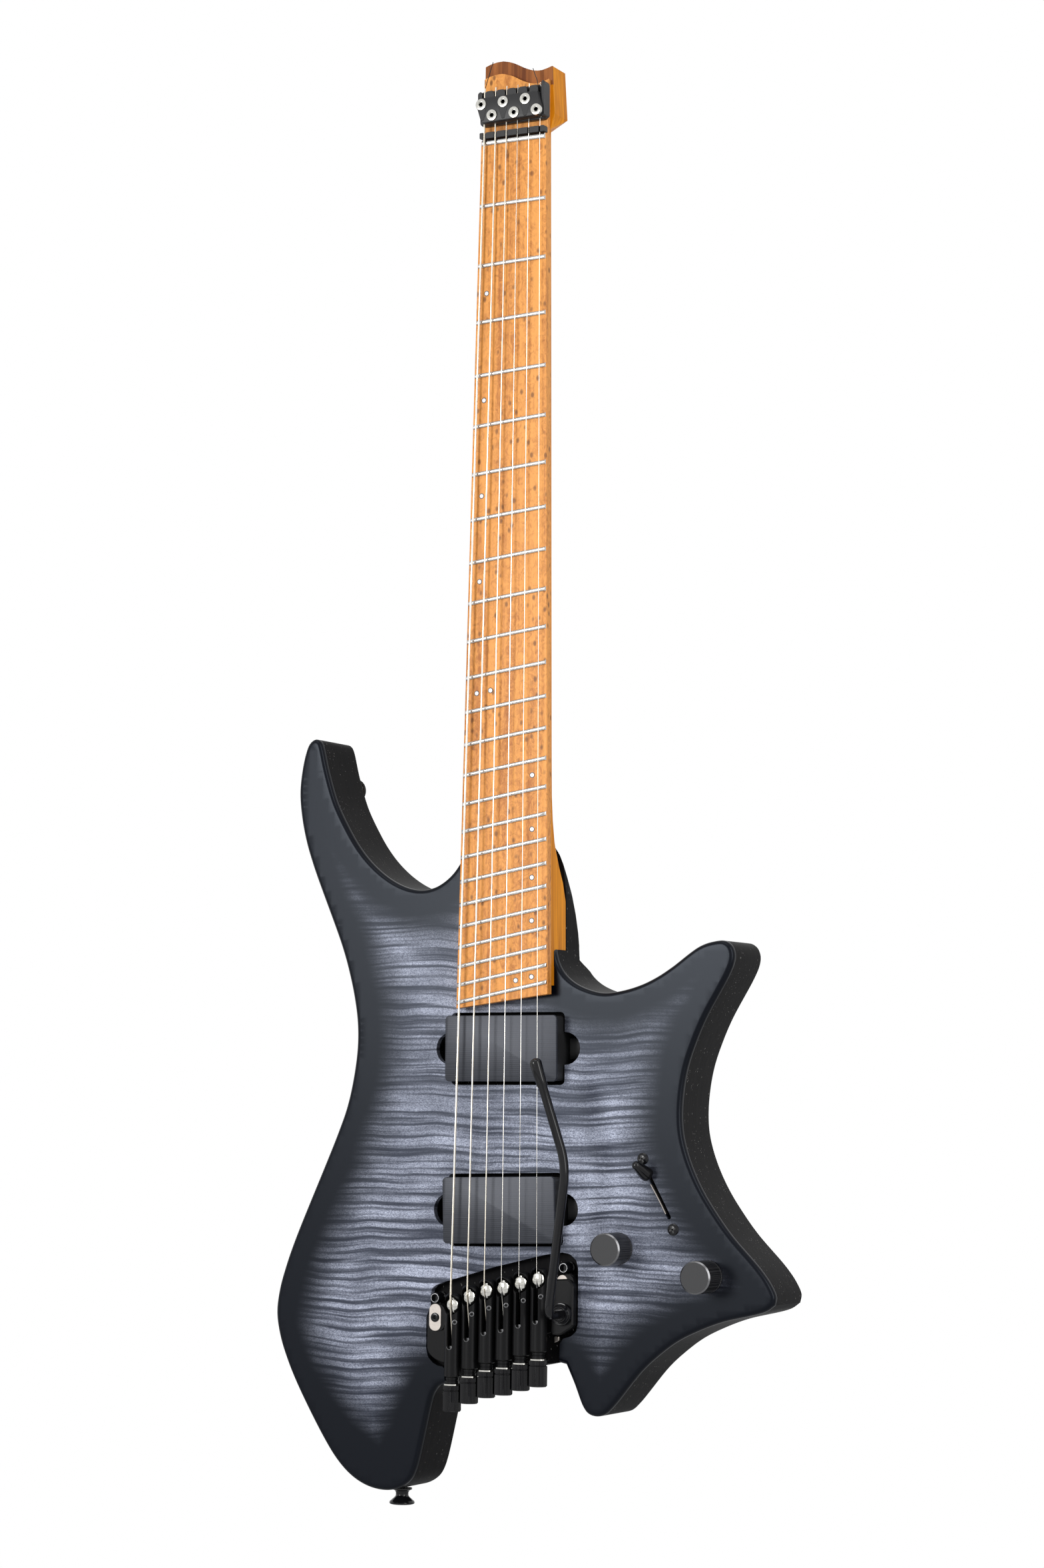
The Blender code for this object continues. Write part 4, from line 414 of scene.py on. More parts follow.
def aim(at, axis=(0, -1, 0)):
    """A place with its own Z along the axis."""
    turn = Vector((0, 0, 1)).rotation_difference(Vector(axis).normalized())
    return Matrix.Translation(at) @ turn.to_matrix().to_4x4()


class Form:
    """One mesh made from slabs, turned shapes and swept tubes, each with its own look."""

    def __init__(self):
        self.bm = bmesh.new()
        self.look = 0

    def face(self, verts):
        verts = list(dict.fromkeys(verts))
        if len(verts) > 2:
            self.bm.faces.new(verts).material_index = self.look

    def band(self, low, high):
        for k in range(len(low)):
            n = (k + 1) % len(low)
            self.face((low[k], low[n], high[n], high[k]))

    def rings(self, rings, caps=True):
        """Rings of points joined in turn. A ring of one point closes to a tip."""
        rows = [[self.bm.verts.new(p) for p in ring] for ring in rings]
        size = max(map(len, rows))
        rows = [row if len(row) > 1 else row * size for row in rows]
        for low, high in zip(rows, rows[1:]):
            self.band(low, high)
        if caps:
            self.face(rows[0][::-1])
            self.face(rows[-1])
        return rows

    def slab(self, outline, levels, tilt=0.0, at=(0, 0)):
        """An outline in x and z through levels of (y, how far it is drawn in)."""
        c, s = cos(tilt), sin(tilt)
        self.rings([[(at[0] + p.x * c - p.y * s, y, at[1] + p.x * s + p.y * c)
                     for p in drawn_in(outline, [by] * len(outline))] for y, by in levels])

    def turned(self, profile, steps, place, ends=True):
        """A profile of (radius, height) turned about the place's own Z.

        A third value is the depth of flutes, by which every second point is drawn in.
        """
        rings = []
        for r, h, *flute in profile:
            radii = (r, r - sum(flute))
            rings.append([place @ Vector((radii[k % 2] * cos(tau * k / steps),
                                          radii[k % 2] * sin(tau * k / steps), h))
                          for k in range(steps if r > 0 else 1)])
        self.rings(rings, ends)

    def tube(self, points, radii, sides):
        """A round tube along the points, with one radius or one for each point."""
        points = [Vector(p) for p in points]
        if not isinstance(radii, list):
            radii = [radii] * len(points)
        steep = abs((points[-1] - points[0]).normalized().z) >= 0.8
        up = Vector((1, 0, 0)) if steep else Vector((0.31, 0.2, 0.93))
        rows = []
        for k, p in enumerate(points):
            along = (points[min(k + 1, len(points) - 1)] - points[max(k - 1, 0)]).normalized()
            up = (up - along * up.dot(along)).normalized()
            other = along.cross(up)
            rows.append([p + (up * cos(tau * j / sides) + other * sin(tau * j / sides)) * radii[k]
                         for j in range(sides)])
        self.rings(rows)

    def mesh(self, name, outward=True):
        """The finished mesh, with its faces turned outwards. The form is used up."""
        if outward:
            bmesh.ops.recalc_face_normals(self.bm, faces=self.bm.faces)
        made = bpy.data.meshes.new(name)
        self.bm.to_mesh(made)
        self.bm.free()
        return made


def linked(name, data):
    ob = bpy.data.objects.new(name, data)
    bpy.context.scene.collection.objects.link(ob)
    return ob


def piece(name, form, looks, replaced=(), body="guitar_body", angle=35, outward=True):
    """A form made into a piece that rides on a body and may stand in for nodes of the part."""
    mesh = form.mesh(name, outward)
    for key in looks:
        mesh.materials.append(mats[key])
    mesh.shade_smooth()
    mesh.set_sharp_from_angle(angle=radians(angle))
    ob = linked(name, mesh)
    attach(ob, body)
    if replaced:
        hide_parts(*replaced)
    return ob


def body_of(name):
    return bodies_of(nodes[name])[0]


# Lines of the neck and the strings, as the part has them

def camber(x):
    return BOARD_RADIUS - sqrt(BOARD_RADIUS ** 2 - x ** 2)


def nut_x(i):
    return NUT_SPREAD * (0.5 - i / 5)


def nut_z(x):
    return -NUT_DROP * (0.5 - x / NUT_SPREAD)


def saddle_at(i):
    """Where a string's saddle is, in x and z."""
    scale = SCALE_TREBLE + (SCALE_BASS - SCALE_TREBLE) * i / 5
    return BRIDGE_SPREAD * (0.5 - i / 5), -NUT_DROP * i / 5 - scale - SADDLE_EXTRA[i]


def outer_x(z):
    t = z / (BRIDGE_Z + SETBACK)
    return (NUT_SPREAD + (BRIDGE_SPREAD - NUT_SPREAD) * t) / 2


def fret_z(n, x):
    part = 1 - 2 ** (-n / 12)
    low, high = -NUT_DROP - SCALE_BASS * part, -SCALE_TREBLE * part
    left, right = -outer_x(low), outer_x(high)
    return low + (high - low) * (x - left) / (right - left)


def board_end_z(x):
    bass = fret_z(24, -BOARD_HALF_END) - 0.003
    treble = fret_z(24, BOARD_HALF_END) - 0.0067
    return bass + (treble - bass) * (x + BOARD_HALF_END) / (2 * BOARD_HALF_END)


def board_half(z):
    return BOARD_HALF_NUT + (BOARD_HALF_END - BOARD_HALF_NUT) * z / board_end_z(0)


def string_x(i, z):
    return 2 * outer_x(z) * (0.5 - i / 5)


# Body

WELD = 2e-6  # vertices nearer than this are one
RIM_CLEAR = 0.0013  # edges this far from the cap's front edge are on the body's rim
CORNER = radians(42)  # sharper turns of the outline stay corners
OUTLINE_STEP, TOP_GRID = 0.0011, 0.004
RIM_REACH = 0.045  # how far in from the rim the burst can reach
EDGE_NEAR, EDGE_STEP, EDGE_SPLITS = 0.0036, 0.0018, 3  # which edges of the core are split
FADE_START, FADE_END = 0.004, 0.01  # where the core's vertices move less, and no more
SHARP = radians(30)


def edge_loops(mesh, level):
    """The loops round a mesh's flat faces at one height, widest first, as lists of (x, z)."""
    bm = bmesh.new()
    bm.from_mesh(mesh)
    bmesh.ops.remove_doubles(bm, verts=bm.verts, dist=WELD)
    used = {}
    for f in bm.faces:
        if all(abs(v.co.y - level) < 2 * WELD for v in f.verts):
            for e in f.edges:
                used[e] = used.get(e, 0) + 1
    near = {}
    for e, times in used.items():
        if times == 1:
            for v in e.verts:
                near.setdefault(v, []).append(e)
    loops, seen = [], set()
    for v in near:
        loop, came = [], None
        while v not in seen:
            seen.add(v)
            loop.append((v.co.x, v.co.z))
            steps = [e for e in near[v] if e is not came and e.other_vert(v) not in seen]
            if not steps:
                break
            came = steps[0]
            v = came.other_vert(v)
        if len(loop) > 2:
            loops.append(loop)
    bm.free()
    return sorted(loops, key=lambda loop: min(p[0] for p in loop) - max(p[0] for p in loop))


def nearest(point, loop):
    """The nearest edge of a closed loop, how far along it, and how far away."""
    a, point = np.asarray(loop), np.array(point)
    d = np.roll(a, -1, axis=0) - a
    t = np.clip(((point - a) * d).sum(1) / np.maximum((d * d).sum(1), 1e-18), 0, 1)
    away = np.sqrt((((a + d * t[:, None]) - point) ** 2).sum(1))
    k = int(away.argmin())
    return k, float(t[k]), float(away[k])


def between(a, b, start, end, t):
    """The point at t on the line that is at a at the start and at b at the end."""
    return a * ((end - t) / (end - start)) + b * ((t - start) / (end - start))


def curved(p0, p1, p2, p3, steps):
    """Points from p1 towards p2 on the centripetal curve through all four."""
    t1 = max((p1 - p0).length, 1e-9) ** 0.5
    t2 = t1 + max((p2 - p1).length, 1e-9) ** 0.5
    t3 = t2 + max((p3 - p2).length, 1e-9) ** 0.5
    out = []
    for t in (t1 + (t2 - t1) * k / steps for k in range(steps)):
        a = between(p0, p1, 0, t1, t)
        b = between(p1, p2, t1, t2, t)
        c = between(p2, p3, t2, t3, t)
        out.append(between(between(a, b, 0, t2, t), between(b, c, t1, t3, t), t1, t2, t))
    return out


def smooth_outline(loop, front_loop):
    """The cap's outline made smooth, as one run of points for each edge of the loop.

    With it comes 1 for each edge on the body's rim and 0 for each one in a cut.
    """
    points = [Vector(p) for p in loop]
    after = points[1:] + points[:1]
    rim = [float(nearest((p + q) / 2, front_loop)[2] > RIM_CLEAR)
           for p, q in zip(points, after)]
    corner = [(p - points[k - 1]).angle(after[k] - p) > CORNER or rim[k] != rim[k - 1]
              for k, p in enumerate(points)]
    spans = []
    for k, (p1, p2) in enumerate(zip(points, after)):
        run = [p1]
        if rim[k]:
            n = (k + 1) % len(points)
            p0 = 2 * p1 - p2 if corner[k] else points[k - 1]
            p3 = 2 * p2 - p1 if corner[n] else after[n]
            steps = max(1, ceil((p2 - p1).length / OUTLINE_STEP))
            run = [Vector((min(max(p.x, cad_box[0][0]), cad_box[1][0]), p.y))
                   for p in curved(p0, p1, p2, p3, steps)]
        spans.append(run + [p2])
    return spans, rim


def inside(x, z, loop):
    """Whether a point lies in a closed loop of (x, z)."""
    hit = False
    for (ax, az), (bx, bz) in zip(loop, loop[1:] + loop[:1]):
        if (az > z) != (bz > z) and x < ax + (bx - ax) * (z - az) / (bz - az):
            hit = not hit
    return hit


def filled(form, loops, extra, y):
    """The flat face inside the first loop of vertices and outside the others."""
    coords, edges, verts = [], [], []
    for loop in loops:
        base = len(coords)
        coords += [Vector((v.co.x, v.co.z)) for v in loop]
        verts += loop
        edges += [(base + k, base + (k + 1) % len(loop)) for k in range(len(loop))]
    out = delaunay_2d_cdt(coords + extra, edges, [], 1, 1e-7)
    holes = [[(v.co.x, v.co.z) for v in loop] for loop in loops[1:]]
    made = []
    for co, origin in zip(out[0], out[3]):
        known = [i for i in origin if i < len(verts)]
        made.append(verts[known[0]] if known else form.bm.verts.new((co.x, y, co.y)))
    for tri in out[2]:
        face = [made[i] for i in tri]
        x, z = sum(v.co.x for v in face) / 3, sum(v.co.z for v in face) / 3
        if any(inside(x, z, hole) for hole in holes):
            continue
        if len(set(face)) == 3 and not form.bm.faces.get(face):
            form.face(face)


def make_cap():
    """The figured top: smooth outline, rounded front edge, and the routes as the part has them."""
    mesh = nodes["top_cap"].data
    front, back = edge_loops(mesh, CAP_FRONT), edge_loops(mesh, CAP_BACK)
    spans, rims = smooth_outline(back[0], front[0])
    outline = [p for run in spans for p in run[:-1]]
    rim = [w for run, w in zip(spans, rims) for p in run[:-1]]
    levels = [(CAP_BACK, 0.0)]
    for k in range(8):
        a = pi / 2 * k / 7
        levels.append((CAP_FRONT + CAP_ROUND * (1 - sin(a)), CAP_ROUND * (1 - cos(a))))
    form = Form()
    rows = form.rings([[(p.x, y, p.y) for p in drawn_in(outline, [by * w for w in rim])]
                       for y, by in levels], caps=False)
    faces, rears = [rows[-1]], [rows[0]]
    for loop in front[1:]:
        near, far = form.rings([[(x, y, z) for x, z in loop] for y in (CAP_FRONT, CAP_BACK)],
                               caps=False)
        faces.append(near)
        rears.append(far)
    low, high = np.min(outline, 0), np.max(outline, 0)
    grid = [Vector((x, z)) for x in np.arange(low[0], high[0], TOP_GRID)
            for z in np.arange(low[1], high[1], TOP_GRID)]
    filled(form, faces, grid, CAP_FRONT)
    filled(form, rears, [], CAP_BACK)
    cap = piece("figured_top", form, ["top"], ["top_cap"])
    middles = np.array([(p + q) / 2 for p, q, w in zip(outline, outline[1:], rim) if w])
    layer = cap.data.attributes.new("rim", "FLOAT", "POINT")
    for k, v in enumerate(cap.data.vertices):
        away = np.sqrt(((middles - np.array((v.co.x, v.co.z))) ** 2).sum(1).min())
        layer.data[k].value = min(1.0, away / RIM_REACH)


def make_core():
    """The core's own mesh with its outer edge split finely and moved onto the smooth outline."""
    cap = nodes["top_cap"].data
    loop, front = edge_loops(cap, CAP_BACK)[0], edge_loops(cap, CAP_FRONT)[0]
    spans = smooth_outline(loop, front)[0]
    corners = np.array(loop)
    form = Form()
    bm = form.bm
    bm.from_mesh(nodes["body_core"].data)
    bmesh.ops.remove_doubles(bm, verts=bm.verts, dist=WELD)
    bmesh.ops.dissolve_limit(bm, angle_limit=radians(0.08), verts=bm.verts, edges=bm.edges)
    for _ in range(EDGE_SPLITS):
        close = {v for v in bm.verts if nearest(v.co.xz, corners)[2] < EDGE_NEAR}
        split = [e for e in bm.edges if close.issuperset(e.verts)
                 and (e.verts[0].co.xz - e.verts[1].co.xz).length > EDGE_STEP]
        bmesh.ops.subdivide_edges(bm, edges=split, cuts=1, use_grid_fill=True)
    bmesh.ops.triangulate(bm, faces=[f for f in bm.faces if len(f.verts) > 4])
    for v in bm.verts:
        k, t, away = nearest(v.co.xz, corners)
        fade = min(1.0, (FADE_END - away) / (FADE_END - FADE_START))
        run = spans[k]
        if len(run) < 3 or fade <= 0:
            continue
        place = t * (len(run) - 1)
        n = min(int(place), len(run) - 2)
        straight = run[0].lerp(run[-1], t)
        move = (run[n].lerp(run[n + 1], place - n) - straight) * fade
        v.co.x += move.x
        v.co.z += move.y
    body = piece("black_body", form, ["ash"], ["body_core"],
                 angle=30, outward=False)
    bm = bmesh.new()
    bm.from_mesh(body.data)
    for e in bm.edges:
        e.smooth = len(e.link_faces) == 2 and e.calc_face_angle() < SHARP
    bm.to_mesh(body.data)
    bm.free()
    even = body.modifiers.new("even_normals", "WEIGHTED_NORMAL")
    even.weight = 100
    even.keep_sharp = True


# Neck

EASE = 0.0003  # how far softened edges are drawn in
WAVE = mm((-21.3, 37.3), (-17, 38.8), (-10, 39.5), (-3, 37.5), (3, 34.4), (9, 32.1),
          (14.5, 31.7), (20.6, 33.3))
FRET_WIDTH, ZERO_FRET_WIDTH, FRET_HEIGHT = 0.0026, 0.0033, 0.00122
DOTS = ((3, 4), (5, 4), (7, 4), (9, 4), (12, 4), (12, 3), (15, 0), (17, 0), (19, 0), (21, 0),
        (24, 0), (24, 1))  # each dot's fret, and the string on its treble side
LOCK_FACE, LOCK_BASE, HEAD_FACE = -0.0127, -0.0069, -HEAD_LAYER - GAP
CLAMP = mm((-17.3, 9.5), (19.5, 10.3), (21.1, 12.9), (18.3, 24.5), (-19.2, 24.3), (-20.9, 21.5))
WALL = mm((19.2, 9.8), (21.7, 10.6), (21.7, 29), (20.6, 30.8), (19.2, 30))
HOOK = mm((-21.2, 23.5), (-18.8, 23.5), (-18.3, 28), (-19.5, 29.2), (-21.2, 28.2))
SCREW_ROWS = (0.0137, 0.0206)
END_LOOP = mm((17.2, -8.6, 29.7), (19, -8.8, 26.2), (19.7, -8.9, 20), (19.3, -8.7, 14),
              (18.3, -8.4, 10.2))
BASS_TAIL = mm((-17.6, -8, 29.2), (-17, -6.6, 34.5), (-16, -5.2, 40), (-14.6, -4, 46.6))
TREBLE_TAIL = mm((16, -8, 28.8), (14.6, -6.6, 32.5), (12.8, -5.5, 36), (11, -4.5, 40))


def make_board():
    """The fretboard's crowned wood, and its layer on the head with a waved end."""
    form = Form()
    rings = []
    for end_z, half in ((lambda x: 0.0016 + nut_z(x), BOARD_HALF_NUT),
                        (board_end_z, BOARD_HALF_END)):
        edge = -BOARD_CROWN + camber(half) + EASE
        crown = [(half - EASE) * (2 * k / 24 - 1) for k in range(25)]
        ring = [(half, -GAP), (-half, -GAP), (-half, edge)]
        ring += [(x, -BOARD_CROWN + camber(x)) for x in crown] + [(half, edge)]
        rings.append([(x, y, end_z(x)) for x, y in ring])
    form.rings(rings)
    wave = smooth_run(WAVE)
    scale = 2 * HEAD_HALF / (wave[-1].x - wave[0].x)
    plan = [(HEAD_HALF, -0.001), (-HEAD_HALF, -0.001)]
    plan += [((p.x - wave[0].x) * scale - HEAD_HALF, p.y) for p in wave]
    form.slab(plan, [(-GAP, 0), (-HEAD_LAYER + EASE, 0), (-HEAD_LAYER, EASE)])
    piece("board_wood", form, ["board"], ["fretboard"])


def make_frets():
    """The zero fret and 24 frets, each a rounded wire with its ends drawn in."""
    form = Form()
    for n in range(25):
        wide = FRET_WIDTH if n else ZERO_FRET_WIDTH
        half = board_half(fret_z(n, 0)) - EASE
        rings = []
        for k in range(15):
            x = half * (2 * k / 14 - 1)
            lean, high = {0: (0.0006, 0.9), 14: (-0.0006, 0.9)}.get(k, (0, 1))
            base, z = -BOARD_CROWN + camber(x), fret_z(n, x)
            ring = [(x, base + 0.0002, z - wide / 2)]
            for a in (pi * j / 6 for j in range(7)):
                ring.append((x + lean * sin(a), base - FRET_HEIGHT * high * sin(a) ** 0.8,
                             z - wide / 2 * cos(a)))
            rings.append(ring + [(x, base + 0.0002, z + wide / 2)])
        form.rings(rings)
    piece("fret_wires", form, ["fret"], angle=60)


def make_dots():
    form = Form()
    for n, i in DOTS:
        z = (fret_z(n, 0) + fret_z(n - 1, 0)) / 2
        x = (string_x(i, z) + string_x(i + 1, z)) / 2 - 0.0006
        z = (fret_z(n, x) + fret_z(n - 1, x)) / 2
        place = aim((x, -BOARD_CROWN + camber(x), z), (x / BOARD_RADIUS, -1, 0))
        form.look = 0
        form.turned(mm((0, 0.07), (1.18, 0.07), (1.2, 0)), 20, place)
        form.look = 1
        form.turned(mm((1.18, 0.04), (1.55, 0.05), (1.6, -0.1)), 20, place)
    piece("position_dots", form, ["dot", "plastic"])


def socket_screw(form, at, radius, high, socket, axis=(0, -1, 0), socket_shade_look=1, steps=24):
    """A round head with a shallow socket, from its seat out along the axis, and on the socket's
    floor a dark six-sided disc in the given look as painted shade of a deep hex socket.
    """
    place = aim(at, axis)
    form.look = 0
    form.turned([(radius, -0.001), (radius, high - radius * 0.12), (radius * 0.94, high - 0.00006),
                 (radius * 0.86, high), (socket * 1.08, high), (socket, high - 0.0001),
                 (socket, high - 0.0004), (0, high - 0.0004)], steps, place)
    # Painted shade: this dark six-sided disc stands in for the shade inside a hex socket.
    form.look = socket_shade_look
    form.turned([(socket * 0.84, high - 0.00036), (0, high - 0.00036)], 6, place)


def make_lock():
    """The string lock: block, clamp, wall, hook, tabs between the strings, and its screws."""
    tilt = atan2(NUT_DROP, NUT_SPREAD)
    form = Form()
    form.slab(rounded_box(0.021, 0.01, 0.0025),
              [(HEAD_FACE, 0), (LOCK_BASE + 0.0004, 0), (LOCK_BASE, 0.0004)], tilt, (0, 0.0193))
    form.slab(round_corners(CLAMP, 0.0012),
              [(LOCK_BASE + 0.0005, 0), (LOCK_FACE + 0.0009, 0), (LOCK_FACE + 0.00025, 0.0003),
               (LOCK_FACE, 0.0009)], tilt)
    form.slab(round_corners(WALL, 0.0008), [(HEAD_FACE, 0), (-0.0098, 0), (-0.0103, 0.0005)], tilt)
    form.slab(round_corners(HOOK, 0.0009), [(HEAD_FACE, 0), (-0.0086, 0), (-0.009, 0.0004)], tilt)
    for i in range(5):
        x = (nut_x(i) + nut_x(i + 1)) / 2
        top = 0.029 + nut_z(x)
        tab = [(x + dx, top - dz) for dx, dz in mm((-2.9, 5), (2.9, 5), (2.7, 1.2), (1.8, 0),
                                                   (-1.8, 0), (-2.7, 1.2))]
        form.slab(round_corners(tab, 0.0004, 2),
                  [(LOCK_BASE + 0.001, 0), (-0.0092, 0), (-0.0096, 0.0004)])
    for i, side, shift in ((1, 0.0036, 0), (3, 0.0036, 0), (5, 0.003, 0.0009)):
        x = nut_x(i)
        foot, z = x + shift, SCREW_ROWS[1] + nut_z(x) + 0.0005
        land = [(x - side, z), (foot - 0.0009, 0.0108), (foot + 0.0009, 0.0108), (x + 0.0036, z)]
        form.slab(round_corners(land, 0.0007), [(LOCK_FACE + 0.0003, 0), (LOCK_FACE - 0.0001, 0),
                                                (LOCK_FACE - 0.0003, 0.0002)])
    piece("lock_block", form, ["plastic"], ["string_lock"], angle=28)
    form = Form()
    for i in range(6):
        x = nut_x(i)
        socket_screw(form, (x, LOCK_FACE, SCREW_ROWS[i % 2] + nut_z(x)), 0.0033, 0.0009, 0.0016)
    piece("lock_screws", form, ["bright", "gloss"])
    form = Form()
    form.tube(smooth_run(END_LOOP), 0.00016, 8)
    piece("string_end_loop", form, ["string"])
    form = Form()
    for tail in (BASS_TAIL, TREBLE_TAIL):
        form.tube(smooth_run(tail), 0.00022, 8)
    piece("string_tails", form, ["gloss"])


# Pickups and bridge

POSTS = (("pivot_post_bass", -0.0417, -0.0063), ("pivot_post_treble", 0.0372, 0.013))
KNIFE = (-0.0409, BRIDGE_Z - 0.0169)


def make_pickup(name, z, degrees):
    """A pickup's case with its round ears, and the cover on it."""
    tilt = radians(degrees)
    outline = rounded_box(0.0345, 0.0183, 0.0025)
    form = Form()
    form.slab(outline, mm((16.7, 0.4), (-4.8, 0.4), (-5, 0.6)), tilt, (0, z))
    form.slab(rounded_box(0.0415, 0.006, 0.00598, 10), mm((13.7, 0), (12.4, 0), (12.2, 0.3)),
              tilt, (0, z))
    piece(name + "_case", form, ["plastic"], [name])
    form = Form()
    form.slab(outline, mm((-4.6, 0), (-5.5, 0), (-5.88, 0.18), (-6, 0.5)), tilt, (0, z))
    piece(name + "_cover", form, ["cover"])


def carve(ob, cutters):
    """Cut the forms out of the object's mesh for good."""
    made = []
    for form in cutters:
        cutter = linked("cutter", form.mesh("cutter"))
        mod = ob.modifiers.new("cut", "BOOLEAN")
        mod.operation = "DIFFERENCE"
        mod.object = cutter
        mod.solver = "EXACT"
        made.append(cutter)
    bpy.context.view_layer.update()
    solid = bpy.data.meshes.new_from_object(ob.evaluated_get(bpy.context.evaluated_depsgraph_get()))
    ob.modifiers.clear()
    for cutter in made:
        bpy.data.objects.remove(cutter, do_unlink=True)
    solid.shade_smooth()
    solid.set_sharp_from_angle(angle=radians(35))
    ob.data = solid


def make_barrel(i):
    """A string's tuner barrel with its saddle seat and slot, a pale wire round the slot as a
    painted highlight on its edge, and a screw.
    """
    x, z = saddle_at(i)
    r, number = BARREL_RADIUS, i + 1
    place = aim((x, BARREL_Y, z), (0, 0, 1))
    name = "tuner_barrel_%d" % number
    form = Form()
    form.turned(mm((0, 6), (3.2, 6), (4.3, 5.3), (4.7, 4.4), (4.7, -39), (4.3, -39.4), (0, -39.4)),
                40, place)
    form.slab(rectangle(x, 0.003, z - 0.026, z - 0.009),
              [(0.001 - GAP, 0), (BARREL_Y + r * 0.4, 0)])
    barrel = piece("barrel_%d" % number, form, ["black"], [name], body_of(name))
    front = BARREL_Y - r - 0.002
    seat, slot, way, bore = Form(), Form(), Form(), Form()
    seat.slab(rounded_box(SADDLE_HALF_X + 0.00025, SADDLE_HALF_Z + 0.00025, SADDLE_HALF_X, 8),
              [(front, 0), (BARREL_Y + 0.003 + GAP, 0)], 0, (x, z))
    slot.slab(rounded_box(0.0015, 0.0121, 0.00148, 8), [(front, 0), (-0.004, 0)], 0,
              (x, z - 0.0121))
    way.slab(rectangle(x, 0.0011, z, z + 0.012), [(front, 0), (BARREL_Y - 0.0026, 0)])
    bore.turned(mm((0, -41.4), (3, -41.4), (3, -19.5), (0, -19.5)), 24, place)
    carve(barrel, [seat, slot, way, bore])
    # Painted highlight: a thin pale wire laid round the slot stands in for the light its edge
    # catches.
    slot_highlight_and_screw = Form()
    rim = [(x + px, BARREL_Y - sqrt(r * r - px * px) + 0.00004, z - 0.0121 + pz)
           for px, pz in rounded_box(0.0016, 0.0122, 0.00158, 8) if pz < 0.0065]
    rim.sort(key=lambda p: (p[0] > x, p[2] if p[0] > x else -p[2]))
    slot_highlight_and_screw.tube(rim, 0.00016, 6)
    side = 0.0027
    at = (x + side, BARREL_Y - sqrt(r * r - side ** 2) + 0.0004, z - 0.0093)
    socket_screw(slot_highlight_and_screw, at, 0.0014, 0.0008, 0.0009, (side / r * 0.8, -1, 0), steps=20)
    piece("barrel_trim_%d" % number, slot_highlight_and_screw, ["smoke", "gloss"], body=body_of(name))


def make_saddle(i):
    """The bright saddle piece: an egg form with a round boss, and below it a thin dark strip
    painted as the shade of a slit.
    """
    x, z = saddle_at(i)
    name = "saddle_%d" % (i + 1)
    low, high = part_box(name)
    crest, half = low[1], (high[1] - low[1]) / 2
    egg = [(sin(a) ** 0.85, cos(a)) for a in (pi * k / 12 for k in range(1, 12))]
    place = Matrix.Translation((x, crest + half, z)) @ Matrix.Diagonal(
        (SADDLE_HALF_X, half, SADDLE_HALF_Z, 1)) @ Matrix.Rotation(radians(90), 4, "X")
    form = Form()
    form.turned([(0, 1)] + egg + [(0, -1)], 32, place)
    form.turned(mm((1.9, -1), (1.9, 0.4), (1.7, 0.55), (1.3, 0.58), (1.1, 0.3), (0, 0.2)), 24,
                aim((x, crest + 0.0006, z + 0.001)))
    # Painted shade: a thin dark slab on the egg stands in for the shade inside the slit.
    form.look = 1
    slit_shade = mm((-0.22, -4.8), (0.5, -4.6), (0.3, -0.8), (-0.05, -0.8))
    form.slab(slit_shade, [(crest + 0.0016, 0), (crest - 0.00002, 0)], 0, (x, z))
    piece("bright_saddle_%d" % (i + 1), form, ["bright", "plastic"], [name],
          body_of(name), angle=50)


def make_tuner_knob(i):
    """A straight-knurled knob with a ring groove, its bright washer, neck and stem."""
    x, z = saddle_at(i)
    name = "tuner_knob_%d" % (i + 1)
    place = aim((x, BARREL_Y, z), (0, 0, 1))
    form = Form()
    form.turned(mm((0, -29.8), (1.2, -29.8), (1.2, -39.7), (3.7, -39.7), (3.7, -40.8), (3.4, -41),
                   (3.4, -41.4), (3.7, -41.6), (3.7, -43.4), (0, -43.4)), 32, place)
    form.look = 1
    form.turned(mm((4.7, -43.9, 0.3), (5, -44.3, 0.3), (5, -46.4, 0.3), (4.5, -46.6, 0.3),
                   (4.5, -47, 0.3), (5, -47.2, 0.3), (5, -57.7, 0.3), (4.4, -58.3, 0.3)), 76, place)
    piece("knurled_tuner_%d" % (i + 1), form, ["black", "gloss"], [name],
          body_of(name), angle=30)
    form = Form()
    rim = mm((3, -43), (4.7, -43), (5, -43.2), (5, -43.9), (4.7, -44.1), (3, -44.1))
    form.turned(rim, 32, place)
    piece("tuner_washer_%d" % (i + 1), form, ["bright"], body=body_of(name))


